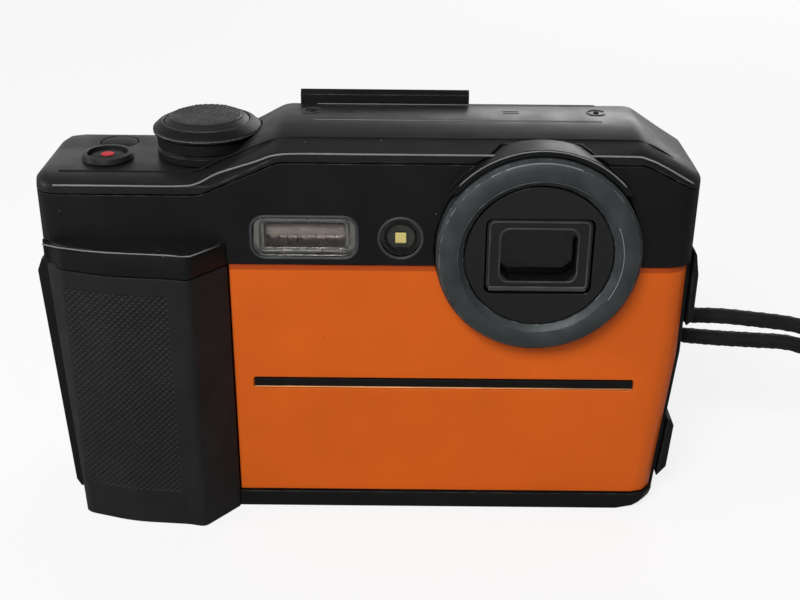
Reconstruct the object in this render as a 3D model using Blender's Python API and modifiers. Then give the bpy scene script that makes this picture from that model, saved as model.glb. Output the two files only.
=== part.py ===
"""A rugged waterproof compact camera with folded optics. Metres, +Z up, the lens looks along -Y."""

import math

import bmesh
import bpy
from mathutils import Matrix, Vector

MM = 0.001
GAP = 0.3

# Overall size, in millimetres. X runs to the right as the camera is seen from its front.
WIDTH = 116.7
HEIGHT = 75.6
DEPTH = 37.3

# Body
GRIP_BULGE = 7.1
EYECUP_REACH = 4.2
LEFT = -WIDTH / 2 + 1.05
RIGHT = WIDTH / 2 - 1.45
FRONT = -DEPTH / 2 + GRIP_BULGE
BACK = DEPTH / 2 - EYECUP_REACH
PARTING = FRONT + 12.0
CORNER_RADIUS = 4.5
WALL = 1.8
FRONT_WALL = 3.6
DECK_Z = HEIGHT - 9.9
HUMP_Z = HEIGHT - 2.3
SIDE_TAPER = 2.6
SHOULDER_Z = HEIGHT - 25.0
STRAP_Z = SHOULDER_Z - 18.2
SIDE_FOOT_Z = STRAP_Z - 0.4

# Front plate and grip
PLATE_LEFT = LEFT + 32.9
PLATE_BOTTOM = 3.5
PLATE_THICKNESS = 1.0
PLATE_SINK = 0.5
SLOT_HEIGHT = 2.3
SLOT_LEFT = PLATE_LEFT + 3.3
SLOT_RIGHT = RIGHT - 8.7
BAND_TOP = SHOULDER_Z + 4.4
RIDGE_X = LEFT + 26.9

# Lens
LENS_X = RIGHT - 27.8
LENS_Z = HEIGHT - 22.0
SLOT_Z = LENS_Z - 26.9
RING_RADIUS = 17.6
RING_BORE = 12.95
RING_REACH = 3.95
LENS_PLATE_RECESS = 1.15
WINDOW_WIDTH = 13.1
WINDOW_HEIGHT = 9.6
FRAME_BORDER = 2.4
BARREL_WIDTH = 21.0
BARREL_DEPTH = 13.0
BARREL_WALL = 1.0
BARREL_BOTTOM = 8.0
BARREL_FRONT = FRONT + 5.0
BARREL_TOP = LENS_Z + 7.4
SHELF_Z = LENS_Z - 8.2
SHELF_THICKNESS = 1.2
OPTIC_Y = BARREL_FRONT + BARREL_DEPTH / 2
ZOOM_SHARE = 0.695
FOCUS_SHARE = 0.24
ROD_RADIUS = 0.8

# Flash and lamp
FLASH_WIDTH = 17.6
FLASH_HEIGHT = 7.0
FLASH_Z = LENS_Z + 2.0
LAMP_RADIUS = 3.5
LAMP_X = LENS_X - RING_RADIUS - LAMP_RADIUS - 2.5
FLASH_X = LAMP_X - LAMP_RADIUS - FLASH_WIDTH / 2 - 4.3

# Top controls
SHUTTER_X = LEFT + 28.3
SHUTTER_Y = FRONT + 15.0
SHUTTER_RADIUS = 7.5
COLLAR_RADIUS = SHUTTER_RADIUS + 2.0
COLLAR_HEIGHT = 5.5
SHUTTER_TRAVEL = 1.2
RECORD_X = LEFT + 11.1
RECORD_Y = FRONT + 11.0
RECORD_RADIUS = 3.25
POWER_Y = FRONT + 20.4
BUTTON_TRAVEL = 0.5
BUTTON_CLEARANCE = 0.3

# Viewfinder
FINDER_X = 2.4
FINDER_WIDTH = 30.4
FINDER_FRONT = FRONT + 20.9
FINDER_BACK = BACK + EYECUP_REACH - 1.2
FINDER_LOW = HEIGHT - 17.6
EYE_Z = HEIGHT - 9.2

# Rear
SCREEN_LEFT = LEFT + 37.3
SCREEN_RIGHT = RIGHT - 10.9
SCREEN_BOTTOM = 8.0
SCREEN_TOP = HEIGHT - 19.6
SCREEN_X = (SCREEN_LEFT + SCREEN_RIGHT) / 2
SCREEN_Z = (SCREEN_BOTTOM + SCREEN_TOP) / 2
SCREEN_WIDTH = SCREEN_RIGHT - SCREEN_LEFT
SCREEN_HEIGHT = SCREEN_TOP - SCREEN_BOTTOM
PAD_X = LEFT + 18.3
PAD_Z = HEIGHT * 0.3175
PAD_RADIUS = 9.5
SET_RADIUS = 3.6
SMALL_BUTTON = 3.0
BUTTON_REACH = 0.7
REAR_BUTTONS = {
    "tele_button": (LEFT + 23.8, HEIGHT - 18.6, 3.4),
    "wide_button": (LEFT + 13.8, HEIGHT - 18.6, 3.4),
    "mode_button": (LEFT + 25.8, HEIGHT - 31.6, SMALL_BUTTON),
    "playback_button": (LEFT + 10.8, HEIGHT - 31.6, SMALL_BUTTON),
    "display_button": (LEFT + 10.8, 8.5, SMALL_BUTTON),
    "delete_button": (LEFT + 25.8, 8.5, SMALL_BUTTON),
    "finder_button": (FINDER_X + FINDER_WIDTH / 2 + 5.9, HEIGHT - 11.6, 2.6),
}
DIAL_RADIUS = 3.1
DIAL_X = FINDER_X - FINDER_WIDTH / 2 - DIAL_RADIUS - 2.7
DIAL_Z = HEIGHT - 12.6

# Side door, battery and card
DOOR_FRONT = FRONT + 2.2
DOOR_BACK = BACK - 2.4
DOOR_BOTTOM = 2.6
DOOR_TOP = SHOULDER_Z - GAP
DOOR_SHOULDER = SHOULDER_Z - 2.6
DOOR_SLIDE_TRAVEL = 2.0
DOOR_SLIDE_INNER = LEFT + 1.3
DOOR_SLIDES = {
    "lock_switch": (FRONT + 8.0, SHOULDER_Z - 9.6, 5.0, 4.0),
    "release_slider": (FRONT + 8.0, SHOULDER_Z - 22.6, 7.0, 10.0),
}
RECESS_X = LEFT + 2.9
INNER_WALL_X = RECESS_X + 1.5
HINGE_X = LEFT + 0.9
HINGE_Y = BACK - 2.6
HINGE_RADIUS = 1.7
PIN_RADIUS = 0.8
PIN_LOW = 4.6
KNUCKLE_LOW = 8.0
KNUCKLE_HIGH = SHOULDER_Z - 6.6
LUG_GAP = 0.4
LUG_HEIGHT = 4.0
BATTERY_X = RECESS_X + 0.4
BATTERY_Y = FRONT + 8.5
BATTERY_Z = 6.2
BATTERY_LENGTH = WIDTH * 0.36
BATTERY_HEIGHT = SHOULDER_Z - 15.1
BATTERY_THICKNESS = 7.9
CARD_LENGTH = 32.0
CARD_HEIGHT = 24.0
CARD_THICKNESS = 2.1
HOLDER_GAP = 1.0
CARD_Y = BATTERY_Y + BATTERY_THICKNESS + 1.9
CARD_Z = 12.0
BOARD_LEFT = BATTERY_X + BATTERY_LENGTH + 3.5

# Tripod socket
TRIPOD_X = 0.0
TRIPOD_RADIUS = 4.6
TRIPOD_BORE = 2.6
TRIPOD_DEPTH = 7.0
TRIPOD_Y = PARTING + TRIPOD_RADIUS + 1.4

# Strap
STRAP_Y = 2.4
LOWER_GUARD = (5.0, STRAP_Z * 0.5556)
CORD_DIAMETER = 3.0
COIL_MIDDLE_RADIUS = 16.2
COIL_TURNS_WIDE = 2
COIL_TURNS_HIGH = 2

STRAP_UPPER = [
    (58.7, 2.4, 34.5), (66.0, 2.4, 34.4), (73.0, 2.4, 33.7), (80.0, 2.5, 32.7), (86.0, 2.8, 30.8),
    (91.0, 3.3, 27.0), (94.2, 3.8, 21.8), (96.0, 4.1, 16.0), (97.4, 4.1, 10.6), (99.4, 4.1, 6.4),
    (101.6, 4.1, 4.4), (103.6, 4.1, 4.0), (105.5, 4.1, 4.0),
]
STRAP_LOWER = [
    (58.7, 2.4, 30.3), (66.0, 2.4, 29.7), (73.0, 2.4, 29.3), (80.0, 2.3, 28.8), (85.0, 1.9, 27.0),
    (89.2, 1.3, 23.2), (92.0, 0.8, 17.8), (94.0, 0.6, 12.4), (96.2, 0.6, 7.8), (98.6, 0.6, 5.1),
    (101.2, 0.6, 4.2), (103.6, 0.6, 4.0), (105.5, 0.6, 4.0),
]
JOINER_START = 105.9
JOINER_LENGTH = 10.0
JOINER_WIDTH = 9.0
JOINER_HEIGHT = 6.4
JOINER_Z = 4.0

BLACK = (0.012, 0.012, 0.013)
DARK = (0.02, 0.021, 0.022)


def clear_scene():
    for obj in list(bpy.data.objects):
        bpy.data.objects.remove(obj, do_unlink=True)


def new_collection(name):
    collection = bpy.data.collections.new(name)
    bpy.context.scene.collection.children.link(collection)
    return collection


clear_scene()
PARTS = new_collection("rugged_camera")
CUTTERS = new_collection("cutters")
CUTTERS.hide_render = True


def material(name, colour, roughness, metallic=0.0, alpha=1.0):
    made = bpy.data.materials.new(name)
    made.use_nodes = True
    shader = made.node_tree.nodes["Principled BSDF"]
    shader.inputs["Base Color"].default_value = (*colour, 1.0)
    shader.inputs["Roughness"].default_value = roughness
    shader.inputs["Metallic"].default_value = metallic
    shader.inputs["Alpha"].default_value = alpha
    return made


def link(obj, collection):
    for owner in list(obj.users_collection):
        owner.objects.unlink(obj)
    collection.objects.link(obj)
    return obj


def as_cutter(obj):
    link(obj, CUTTERS)
    obj.hide_render = True
    obj.display_type = "WIRE"
    return obj


def finish(obj, colour, roughness, metallic=0.0, alpha=1.0, smooth_angle=30.0):
    obj.data.materials.clear()
    obj.data.materials.append(material(obj.name, colour, roughness, metallic, alpha))
    if obj.type == "MESH":
        obj.data.shade_smooth()
        obj.data.set_sharp_from_angle(angle=math.radians(smooth_angle))
    return obj


def mesh_object(name, bm):
    bmesh.ops.recalc_face_normals(bm, faces=bm.faces)
    mesh = bpy.data.meshes.new(name)
    bm.to_mesh(mesh)
    bm.free()
    obj = bpy.data.objects.new(name, mesh)
    PARTS.objects.link(obj)
    return obj


def set_origin(obj, origin):
    """Moves the object's origin to a point in millimetres and leaves its mesh where it is."""
    point = Vector(origin) * MM
    obj.data.transform(Matrix.Translation(-point) @ obj.matrix_world)
    obj.matrix_world = Matrix.Translation(point)
    return obj


def box(name, low, high, bevel=0.0, segments=2):
    bm = bmesh.new()
    bmesh.ops.create_cube(bm, size=1.0)
    size = [(b - a) * MM for a, b in zip(low, high)]
    middle = [(a + b) / 2 * MM for a, b in zip(low, high)]
    bmesh.ops.scale(bm, vec=size, verts=bm.verts)
    bmesh.ops.translate(bm, vec=middle, verts=bm.verts)
    obj = mesh_object(name, bm)
    if bevel:
        add_bevel(obj, bevel, segments)
    return obj


def add_bevel(obj, width, segments=2, angle=40.0):
    modifier = obj.modifiers.new("edges", "BEVEL")
    modifier.width = width * MM
    modifier.segments = segments
    modifier.limit_method = "ANGLE"
    modifier.angle_limit = math.radians(angle)
    return modifier


def cylinder(name, start, axis, radius, length, sides=32):
    """A cylinder from start along X, Y or Z."""
    bm = bmesh.new()
    bmesh.ops.create_cone(
        bm,
        cap_ends=True,
        segments=sides,
        radius1=radius * MM,
        radius2=radius * MM,
        depth=length * MM,
    )
    bmesh.ops.translate(bm, vec=(0, 0, length / 2 * MM), verts=bm.verts)
    turn = Vector((0, 0, 1)).rotation_difference(Vector(axis)).to_matrix()
    bmesh.ops.rotate(bm, cent=(0, 0, 0), matrix=turn, verts=bm.verts)
    bmesh.ops.translate(bm, vec=Vector(start) * MM, verts=bm.verts)
    return mesh_object(name, bm)


def turned(name, profile, origin, axis=(0, 0, 1), steps=48):
    """A Screw of a closed (radius, height) profile, which runs down its outer side, about an axis."""
    mesh = bpy.data.meshes.new(name)
    count = len(profile)
    on_axis = profile[0][0] == 0 and profile[-1][0] == 0
    edges = [(i, i + 1) for i in range(count - 1)]
    if not on_axis:
        edges.append((count - 1, 0))
    mesh.from_pydata([(r * MM, 0, h * MM) for r, h in profile], edges, [])
    obj = bpy.data.objects.new(name, mesh)
    PARTS.objects.link(obj)
    screw = obj.modifiers.new("turn", "SCREW")
    screw.steps = steps
    screw.render_steps = steps
    screw.use_merge_vertices = True
    screw.merge_threshold = 0.00005
    turn = Vector((0, 0, 1)).rotation_difference(Vector(axis)).to_matrix().to_4x4()
    obj.matrix_world = Matrix.Translation(Vector(origin) * MM) @ turn
    return obj


def rounded(corners, segments=4):
    """A closed outline: each corner is (u, v, radius), and an arc replaces each corner with a radius."""
    outline = []
    count = len(corners)
    for index, (u, v, radius) in enumerate(corners):
        here = Vector((u, v))
        if radius <= 0:
            outline.append((u, v))
            continue
        before = (Vector(corners[index - 1][:2]) - here).normalized()
        after = (Vector(corners[(index + 1) % count][:2]) - here).normalized()
        half = before.angle(after) / 2
        reach = radius / math.tan(half)
        centre = here + (before + after).normalized() * radius / math.sin(half)
        first = here + before * reach - centre
        sweep = math.pi - 2 * half
        if before.x * after.y - before.y * after.x > 0:
            sweep = -sweep
        for step in range(segments + 1):
            turn = Matrix.Rotation(sweep * step / segments, 2)
            outline.append(tuple(centre + turn @ first))
    return outline


def rectangle(u, v, width, height, radius, segments=4):
    """The rounded outline of a rectangle centred on (u, v)."""
    a, b = width / 2, height / 2
    corners = [(u - a, v - b), (u + a, v - b), (u + a, v + b), (u - a, v + b)]
    return rounded([(*corner, radius) for corner in corners], segments)


PLANES = {
    "XY": Matrix(((1, 0, 0), (0, 1, 0), (0, 0, 1))),
    "XZ": Matrix(((1, 0, 0), (0, 0, -1), (0, 1, 0))),
    "YZ": Matrix(((0, 0, 1), (1, 0, 0), (0, 1, 0))),
}


def plate(name, outline, plane, low, high, bevel=0.0, segments=2):
    """A flat outline in XY, XZ or YZ with a thickness from low to high along the third axis."""
    curve = bpy.data.curves.new(name, "CURVE")
    curve.dimensions = "2D"
    curve.fill_mode = "BOTH"
    curve.extrude = (high - low) / 2 * MM
    spline = curve.splines.new("POLY")
    spline.points.add(len(outline) - 1)
    for point, (u, v) in zip(spline.points, outline):
        point.co = (u * MM, v * MM, 0, 1)
    spline.use_cyclic_u = True
    guide = bpy.data.objects.new(name + "_outline", curve)
    PARTS.objects.link(guide)
    turn = PLANES[plane].to_4x4()
    side = {"XY": 2, "XZ": 1, "YZ": 0}[plane]
    middle = Vector((0, 0, 0))
    middle[side] = (low + high) / 2 * MM
    guide.matrix_world = Matrix.Translation(middle) @ turn
    bpy.context.view_layer.update()
    graph = bpy.context.evaluated_depsgraph_get()
    mesh = bpy.data.meshes.new_from_object(guide.evaluated_get(graph))
    mesh.transform(guide.matrix_world)
    bpy.data.objects.remove(guide, do_unlink=True)
    bm = bmesh.new()
    bm.from_mesh(mesh)
    bmesh.ops.remove_doubles(bm, verts=bm.verts, dist=0.000005)
    bpy.data.meshes.remove(mesh)
    obj = mesh_object(name, bm)
    if bevel:
        add_bevel(obj, bevel, segments)
    return obj


def boolean(obj, other, operation="DIFFERENCE"):
    as_cutter(other)
    modifier = obj.modifiers.new(other.name, "BOOLEAN")
    modifier.operation = operation
    modifier.object = other
    modifier.solver = "EXACT"
    return obj


def bake(obj):
    """Replaces the object's mesh with its evaluated one, so that it can be cut or copied again."""
    bpy.context.view_layer.update()
    graph = bpy.context.evaluated_depsgraph_get()
    mesh = bpy.data.meshes.new_from_object(obj.evaluated_get(graph))
    obj.modifiers.clear()
    obj.data = mesh
    return obj


def tube(name, route, radius, resolution=2):
    curve = bpy.data.curves.new(name, "CURVE")
    curve.dimensions = "3D"
    curve.bevel_depth = radius * MM
    curve.bevel_resolution = resolution
    curve.use_fill_caps = True
    spline = curve.splines.new("POLY")
    spline.points.add(len(route) - 1)
    for point, place in zip(spline.points, route):
        point.co = (*(Vector(place) * MM), 1)
    obj = bpy.data.objects.new(name, curve)
    PARTS.objects.link(obj)
    return obj


# Body envelope


def body_outline(inset, rise):
    """The body seen from the front, inset all round, with its top raised by rise over its front edge."""
    left, right = LEFT + inset, RIGHT - inset
    deck = DECK_Z - 1.0 - inset + min(rise, 1.0)
    hump = HUMP_Z - 2.65 - inset + rise
    low = inset
    return rounded(
        [
            (left + SIDE_TAPER, low, 2.5),
            (right - SIDE_TAPER, low, 3.5),
            (right, SIDE_FOOT_Z, 0),
            (right, deck + 0.6, 2.2),
            (right - 10.6, hump, 4.0),
            (LEFT + 42.0, hump, 5.0),
            (LEFT + 28.6, deck, 6.0),
            (left, deck, 1.6),
            (left, SHOULDER_Z - 0.6, 0),
        ]
    )


def envelope(name, inset=0.0, front=None, back=None):
    """The body's outer shape: sections along Y, with rounded vertical edges and the top sloping up."""
    front = FRONT + inset if front is None else front
    back = BACK - inset if back is None else back
    radius = CORNER_RADIUS
    stations = []
    for step in range(4):
        angle = math.radians(90 * step / 3)
        stations.append((radius * (1 - math.cos(angle)), radius * (1 - math.sin(angle))))
    depth = back - front
    levels = [(offset, side, 2.65 * min(offset / 8.6, 1.0)) for offset, side in stations]
    levels.append((8.6, 0.0, 2.65))
    levels.append((depth - 5.6, 0.0, 2.65))
    for offset, side in reversed(stations):
        levels.append((depth - offset, side, 2.65 - 2.2 * (1 - offset / 5.6)))
    bm = bmesh.new()
    rings = []
    middle = (LEFT + RIGHT) / 2
    half = (RIGHT - LEFT) / 2
    for offset, side, rise in levels:
        shrink = (half - side) / half
        ring = [
            bm.verts.new(((middle + (x - middle) * shrink) * MM, (front + offset) * MM, z * MM))
            for x, z in body_outline(inset, rise)
        ]
        rings.append(ring)
    for first, second in zip(rings, rings[1:]):
        for index in range(len(first)):
            after = (index + 1) % len(first)
            bm.faces.new((first[index], first[after], second[after], second[index]))
    bm.faces.new(rings[0])
    bm.faces.new(rings[-1])
    return mesh_object(name, bm)


def above_line(name, drop):
    """Everything above the line that parts the top cover from the cases."""
    deck = DECK_Z - 1.0 - drop
    hump = HUMP_Z - 2.65 - drop
    line = rounded(
        [
            (LEFT - 9, HEIGHT + 20, 0),
            (LEFT - 9, deck, 0),
            (LEFT + 28.6, deck, 6.0),
            (LEFT + 42.0, hump, 5.0),
            (RIGHT - 10.6, hump, 4.0),
            (RIGHT + 9, deck - 9 * 0.45, 0),
            (RIGHT + 9, HEIGHT + 20, 0),
        ]
    )
    return plate(name, line, "XZ", FRONT - 20, BACK + 20)


# Cases


def body_hollow():
    hollow = envelope("hollow", WALL, front=FRONT + FRONT_WALL)
    side = box("hollow_side", (LEFT - 5, FRONT - 5, -5), (INNER_WALL_X, BACK + 5, SHOULDER_Z + 2.0))
    return boolean(hollow, side)


def case_shell(name):
    """Both cases before they part: an open tray under the top cover, with the recess of the side door."""
    shell = envelope(name)
    boolean(shell, above_line(name + "_top", 1.4 + GAP))
    boolean(shell, body_hollow())
    recess = box(
        name + "_recess", (LEFT - 5, DOOR_FRONT - GAP, -5), (RECESS_X, BACK + 5, SHOULDER_Z)
    )
    boolean(shell, recess)
    for title, y, z, thick, high in (
        ("battery_way", BATTERY_Y, BATTERY_Z, BATTERY_THICKNESS, BATTERY_HEIGHT),
        ("card_way", CARD_Y, CARD_Z, CARD_THICKNESS, CARD_HEIGHT),
    ):
        low = (RECESS_X - 5, y - 0.4, z - 0.4)
        high_corner = (INNER_WALL_X + 1, y + thick + 0.4, z + high + 0.4)
        boolean(shell, box(name + "_" + title, low, high_corner))
    return shell


def plate_pocket(name):
    """The space of the front plate, which wraps round the right-hand edge."""
    low = (PLATE_LEFT - GAP, FRONT - 5, PLATE_BOTTOM - GAP)
    high = (RIGHT + 5, FRONT + 4.2, SHOULDER_Z)
    pocket = box(name, low, high)
    return boolean(pocket, envelope(name + "_core", PLATE_SINK + PLATE_THICKNESS + GAP))


def front_case():
    case = case_shell("front_case")
    boolean(case, box("front_case_back", (LEFT - 9, PARTING, -9), (RIGHT + 9, BACK + 9, HEIGHT + 9)))
    shroud = cylinder(
        "shroud", (LENS_X, FRONT + 3, LENS_Z), (0, -1, 0), RING_RADIUS + 1.4, 5.4, sides=72
    )
    boolean(shroud, box("shroud_low", (0, FRONT - 9, 0), (RIGHT + 9, FRONT + 9, LENS_Z + 11)))
    boolean(case, shroud, "UNION")
    boolean(case, plate_pocket("plate_pocket"))
    boolean(
        case,
        box("grip_pocket", (LEFT - 9, FRONT - 5, -5), (PLATE_LEFT - GAP, FRONT + 1.8, SHOULDER_Z)),
    )
    boolean(
        case,
        cylinder("lens_bore", (LENS_X, FRONT + 9, LENS_Z), (0, -1, 0), RING_RADIUS + GAP, 20, 72),
    )
    flash_hole = rectangle(FLASH_X, FLASH_Z, FLASH_WIDTH + 2 * GAP, FLASH_HEIGHT + 2 * GAP, 2.3)
    boolean(case, plate("flash_hole", flash_hole, "XZ", FRONT - 3, FRONT + 5))
    boolean(
        case,
        cylinder("lamp_hole", (LAMP_X, FRONT + 6, FLASH_Z), (0, -1, 0), LAMP_RADIUS + GAP, 12),
    )
    return finish(case, BLACK, 0.5)


def hinge_lug(name, low):
    """A round lug on the hinge axis with an arm into the case."""
    lug = cylinder(name, (HINGE_X, HINGE_Y, low), (0, 0, 1), HINGE_RADIUS, LUG_HEIGHT, 24)
    arm_low = (HINGE_X, HINGE_Y - HINGE_RADIUS + 0.1, low)
    arm_high = (RECESS_X + 1.0, HINGE_Y + HINGE_RADIUS - 0.1, low + LUG_HEIGHT)
    return boolean(lug, box(name + "_arm", arm_low, arm_high), "UNION")


def rear_case():
    case = case_shell("rear_case")
    low = (LEFT - 9, FRONT - 9, -9)
    boolean(case, box("rear_case_front", low, (RIGHT + 9, PARTING + GAP, HEIGHT + 9)))
    boolean(case, hinge_lug("low_lug", KNUCKLE_LOW - LUG_GAP - LUG_HEIGHT), "UNION")
    boolean(case, hinge_lug("high_lug", KNUCKLE_HIGH + LUG_GAP), "UNION")
    pin_hole = cylinder(
        "pin_hole", (HINGE_X, HINGE_Y, PIN_LOW), (0, 0, 1), PIN_RADIUS + GAP, SHOULDER_Z - PIN_LOW, 20
    )
    boolean(case, pin_hole)
    boolean(case, finder_space("rear_finder_space"))
    window = rectangle(SCREEN_X, SCREEN_Z, SCREEN_WIDTH + 2 * GAP, SCREEN_HEIGHT + 2 * GAP, 1.5)
    boolean(case, plate("window_pocket", window, "XZ", BACK - 1.2 - GAP, BACK + 2))
    view = rectangle(SCREEN_X, SCREEN_Z, SCREEN_WIDTH - 3, SCREEN_HEIGHT - 3, 1.0)
    boolean(case, plate("window_view", view, "XZ", BACK - 5, BACK + 2))
    for title, (x, z, radius) in REAR_BUTTONS.items():
        hole_radius = radius + BUTTON_CLEARANCE
        boolean(case, cylinder(title + "_hole", (x, BACK - 5, z), (0, 1, 0), hole_radius, 9, 24))
    boolean(
        case,
        cylinder("dial_hole", (DIAL_X, BACK - 5, DIAL_Z), (0, 1, 0), DIAL_RADIUS + GAP, 9, 24),
    )
    boolean(
        case,
        cylinder("pad_hole", (PAD_X, BACK - 5, PAD_Z), (0, 1, 0), PAD_RADIUS + 0.35, 9, 48),
    )
    boolean(
        case,
        cylinder("tripod_hole", (TRIPOD_X, TRIPOD_Y, -3), (0, 0, 1), TRIPOD_RADIUS + GAP, 9, 32),
    )
    return finish(case, BLACK, 0.5)


def finder_space(name):
    half = FINDER_WIDTH / 2 + GAP
    low = (FINDER_X - half, FINDER_FRONT - GAP, FINDER_LOW - GAP)
    return box(name, low, (FINDER_X + half, BACK + 20, HEIGHT + 20))


def top_cover():
    cover = envelope("top_cover")
    line = above_line("cover_line", 1.4)
    boolean(cover, line, "INTERSECT")
    boolean(cover, finder_space("cover_finder_space"))
    bore = RING_RADIUS + 1.4 + GAP
    boolean(cover, cylinder("cover_bore", (LENS_X, FRONT + 3.5, LENS_Z), (0, -1, 0), bore, 12, 72))
    seat = cylinder(
        "collar_seat", (SHUTTER_X, SHUTTER_Y, DECK_Z), (0, 0, 1), COLLAR_RADIUS + GAP, 12, 56
    )
    boolean(cover, seat)
    floor = DECK_Z - 1.9
    for title, x, y, radius in (
        ("record_seat", RECORD_X, RECORD_Y, RECORD_RADIUS),
        ("power_seat", RECORD_X, POWER_Y, RECORD_RADIUS),
    ):
        seat = cylinder(title, (x, y, floor), (0, 0, 1), radius + BUTTON_CLEARANCE, 9, 32)
        boolean(cover, seat)
    return finish(cover, DARK, 0.45)


def front_plate():
    piece = envelope("front_plate", PLATE_SINK)
    boolean(piece, envelope("front_plate_core", PLATE_SINK + PLATE_THICKNESS))
    keep_low = (PLATE_LEFT, FRONT - 5, PLATE_BOTTOM)
    keep = box("front_plate_keep", keep_low, (RIGHT + 5, FRONT + 3.9, SHOULDER_Z - GAP))
    boolean(piece, keep, "INTERSECT")
    bore = RING_RADIUS + GAP
    boolean(piece, cylinder("plate_bore", (LENS_X, FRONT + 9, LENS_Z), (0, -1, 0), bore, 20, 72))
    middle = (SLOT_LEFT + SLOT_RIGHT) / 2
    slot = rectangle(middle, SLOT_Z, SLOT_RIGHT - SLOT_LEFT, SLOT_HEIGHT, 0.5, 2)
    boolean(piece, plate("slot", slot, "XZ", FRONT - 5, FRONT + PLATE_SINK + 0.6))
    return finish(piece, (0.9, 0.22, 0.02), 0.35, 0.6)


def grip_outline(back):
    """The grip seen from above: it swells towards its ridge and drops to the edge of the front plate."""
    return rounded(
        [
            (PLATE_LEFT - GAP, back, 0),
            (LEFT + 1.2, back, 0),
            (LEFT + 1.2, FRONT + 0.6, 0.4),
            (LEFT + 4.6, FRONT - 2.9, 3.0),
            (LEFT + 13.3, FRONT - 5.6, 30.0),
            (LEFT + 23.7, FRONT - 6.4, 8.0),
            (RIDGE_X, FRONT - GRIP_BULGE, 1.6),
            (PLATE_LEFT - GAP, FRONT - 0.4, 0),
        ]
    )


def grip():
    piece = plate("grip", grip_outline(FRONT + 1.5), "XY", 0.0, SHOULDER_Z - GAP)
    taper = [
        (LEFT - 5, -5),
        (LEFT + SIDE_TAPER + 1.2, -5),
        (LEFT + SIDE_TAPER + 1.2, 0),
        (LEFT + 1.2, SHOULDER_Z),
        (LEFT - 5, SHOULDER_Z),
    ]
    boolean(piece, plate("grip_taper", taper, "XZ", FRONT - 20, FRONT + 20))
    add_bevel(piece, 0.5, 2, 50.0)
    return finish(piece, BLACK, 0.6)


def grip_band():
    piece = plate("grip_band", grip_outline(FRONT - GAP), "XY", SHOULDER_Z, BAND_TOP, 0.5)
    return finish(piece, BLACK, 0.5)


# Lens


def lens_turned(name, profile, steps=64):
    return turned(name, profile, (LENS_X, FRONT, LENS_Z), (0, -1, 0), steps)


def lens_ring():
    outer, bore = RING_RADIUS, RING_BORE
    profile = [
        (bore + 0.95, RING_REACH - 0.15),
        (bore + 1.3, RING_REACH),
        (outer - 1.3, RING_REACH),
        (outer - 0.5, RING_REACH - 0.35),
        (outer, RING_REACH - 1.1),
        (outer, -3.3),
        (bore - 1.3, -3.3),
        (bore - 1.3, RING_REACH - LENS_PLATE_RECESS - 1.9),
        (bore, RING_REACH - LENS_PLATE_RECESS - 1.9),
        (bore, RING_REACH - LENS_PLATE_RECESS),
    ]
    return finish(lens_turned("lens_ring", profile, 72), (0.06, 0.075, 0.085), 0.35, 0.9)


def frame_outline(extra):
    width = WINDOW_WIDTH + 2 * FRAME_BORDER + 2 * extra
    height = WINDOW_HEIGHT + 2 * FRAME_BORDER - 1.1 + 2 * extra
    return rectangle(LENS_X, LENS_Z, width, height, 1.2, 3)


def lens_plate():
    front = RING_REACH - LENS_PLATE_RECESS
    radius = RING_BORE - GAP
    piece = cylinder(
        "lens_plate", (LENS_X, FRONT - front + 1.5, LENS_Z), (0, -1, 0), radius, 1.5, 64
    )
    boolean(piece, plate("frame_way", frame_outline(GAP), "XZ", FRONT - 9, FRONT + 9))
    return finish(piece, (0.006, 0.006, 0.007), 0.25)


def window_frame():
    front = FRONT - (RING_REACH - LENS_PLATE_RECESS) + 0.5
    piece = plate("window_frame", frame_outline(0), "XZ", front, FRONT + 4.6)
    opening = rectangle(LENS_X, LENS_Z, WINDOW_WIDTH, WINDOW_HEIGHT, 1.6, 1)
    boolean(piece, plate("window_way", opening, "XZ", FRONT - 9, FRONT + 9))
    return finish(piece, (0.01, 0.01, 0.012), 0.4)


def lens_window():
    opening = rectangle(
        LENS_X, LENS_Z, WINDOW_WIDTH - 2 * GAP, WINDOW_HEIGHT - 2 * GAP, 1.5, 1
    )
    piece = plate("lens_window", opening, "XZ", FRONT + 0.6, FRONT + 1.8)
    return finish(piece, (0.3, 0.32, 0.36), 0.05, 0.0, 0.4)


def lens_barrel():
    """The folded lens's housing: a prism room over a lens room, both open behind."""
    half = BARREL_WIDTH / 2
    low = (LENS_X - half, BARREL_FRONT, BARREL_BOTTOM)
    high = (LENS_X + half, BARREL_FRONT + BARREL_DEPTH, BARREL_TOP)
    piece = box("lens_barrel", low, high)
    wall = BARREL_WALL
    back = BARREL_FRONT + BARREL_DEPTH + 5
    for title, floor, ceiling in (
        ("prism_room", SHELF_Z + SHELF_THICKNESS, BARREL_TOP - wall),
        ("lens_room", BARREL_BOTTOM + wall, SHELF_Z),
    ):
        room_low = (low[0] + wall, BARREL_FRONT + wall, floor)
        boolean(piece, box(title, room_low, (high[0] - wall, back, ceiling)))
    light = rectangle(LENS_X, LENS_Z, WINDOW_WIDTH - 1, WINDOW_HEIGHT - 1, 0)
    boolean(piece, plate("light_way", light, "XZ", BARREL_FRONT - 3, BARREL_FRONT + 3))
    boolean(piece, cylinder("light_drop", (LENS_X, OPTIC_Y, SHELF_Z - 1), (0, 0, 1), 4.2, 4, 24))
    return finish(piece, (0.03, 0.03, 0.03), 0.6)


def prism():
    near = BARREL_FRONT + BARREL_WALL + GAP
    low = SHELF_Z + SHELF_THICKNESS + GAP
    size = BARREL_DEPTH - BARREL_WALL - 2 * GAP
    outline = [(near, low), (near + size, low), (near, low + size)]
    half = WINDOW_WIDTH / 2
    piece = plate("prism", outline, "YZ", LENS_X - half, LENS_X + half)
    return finish(piece, (0.7, 0.75, 0.8), 0.03, 0.0, 0.4)


def rod_places():
    reach = BARREL_WIDTH / 2 - BARREL_WALL - ROD_RADIUS - 1.4
    return {"guide_rod_left": LENS_X - reach, "guide_rod_right": LENS_X + reach}


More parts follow.
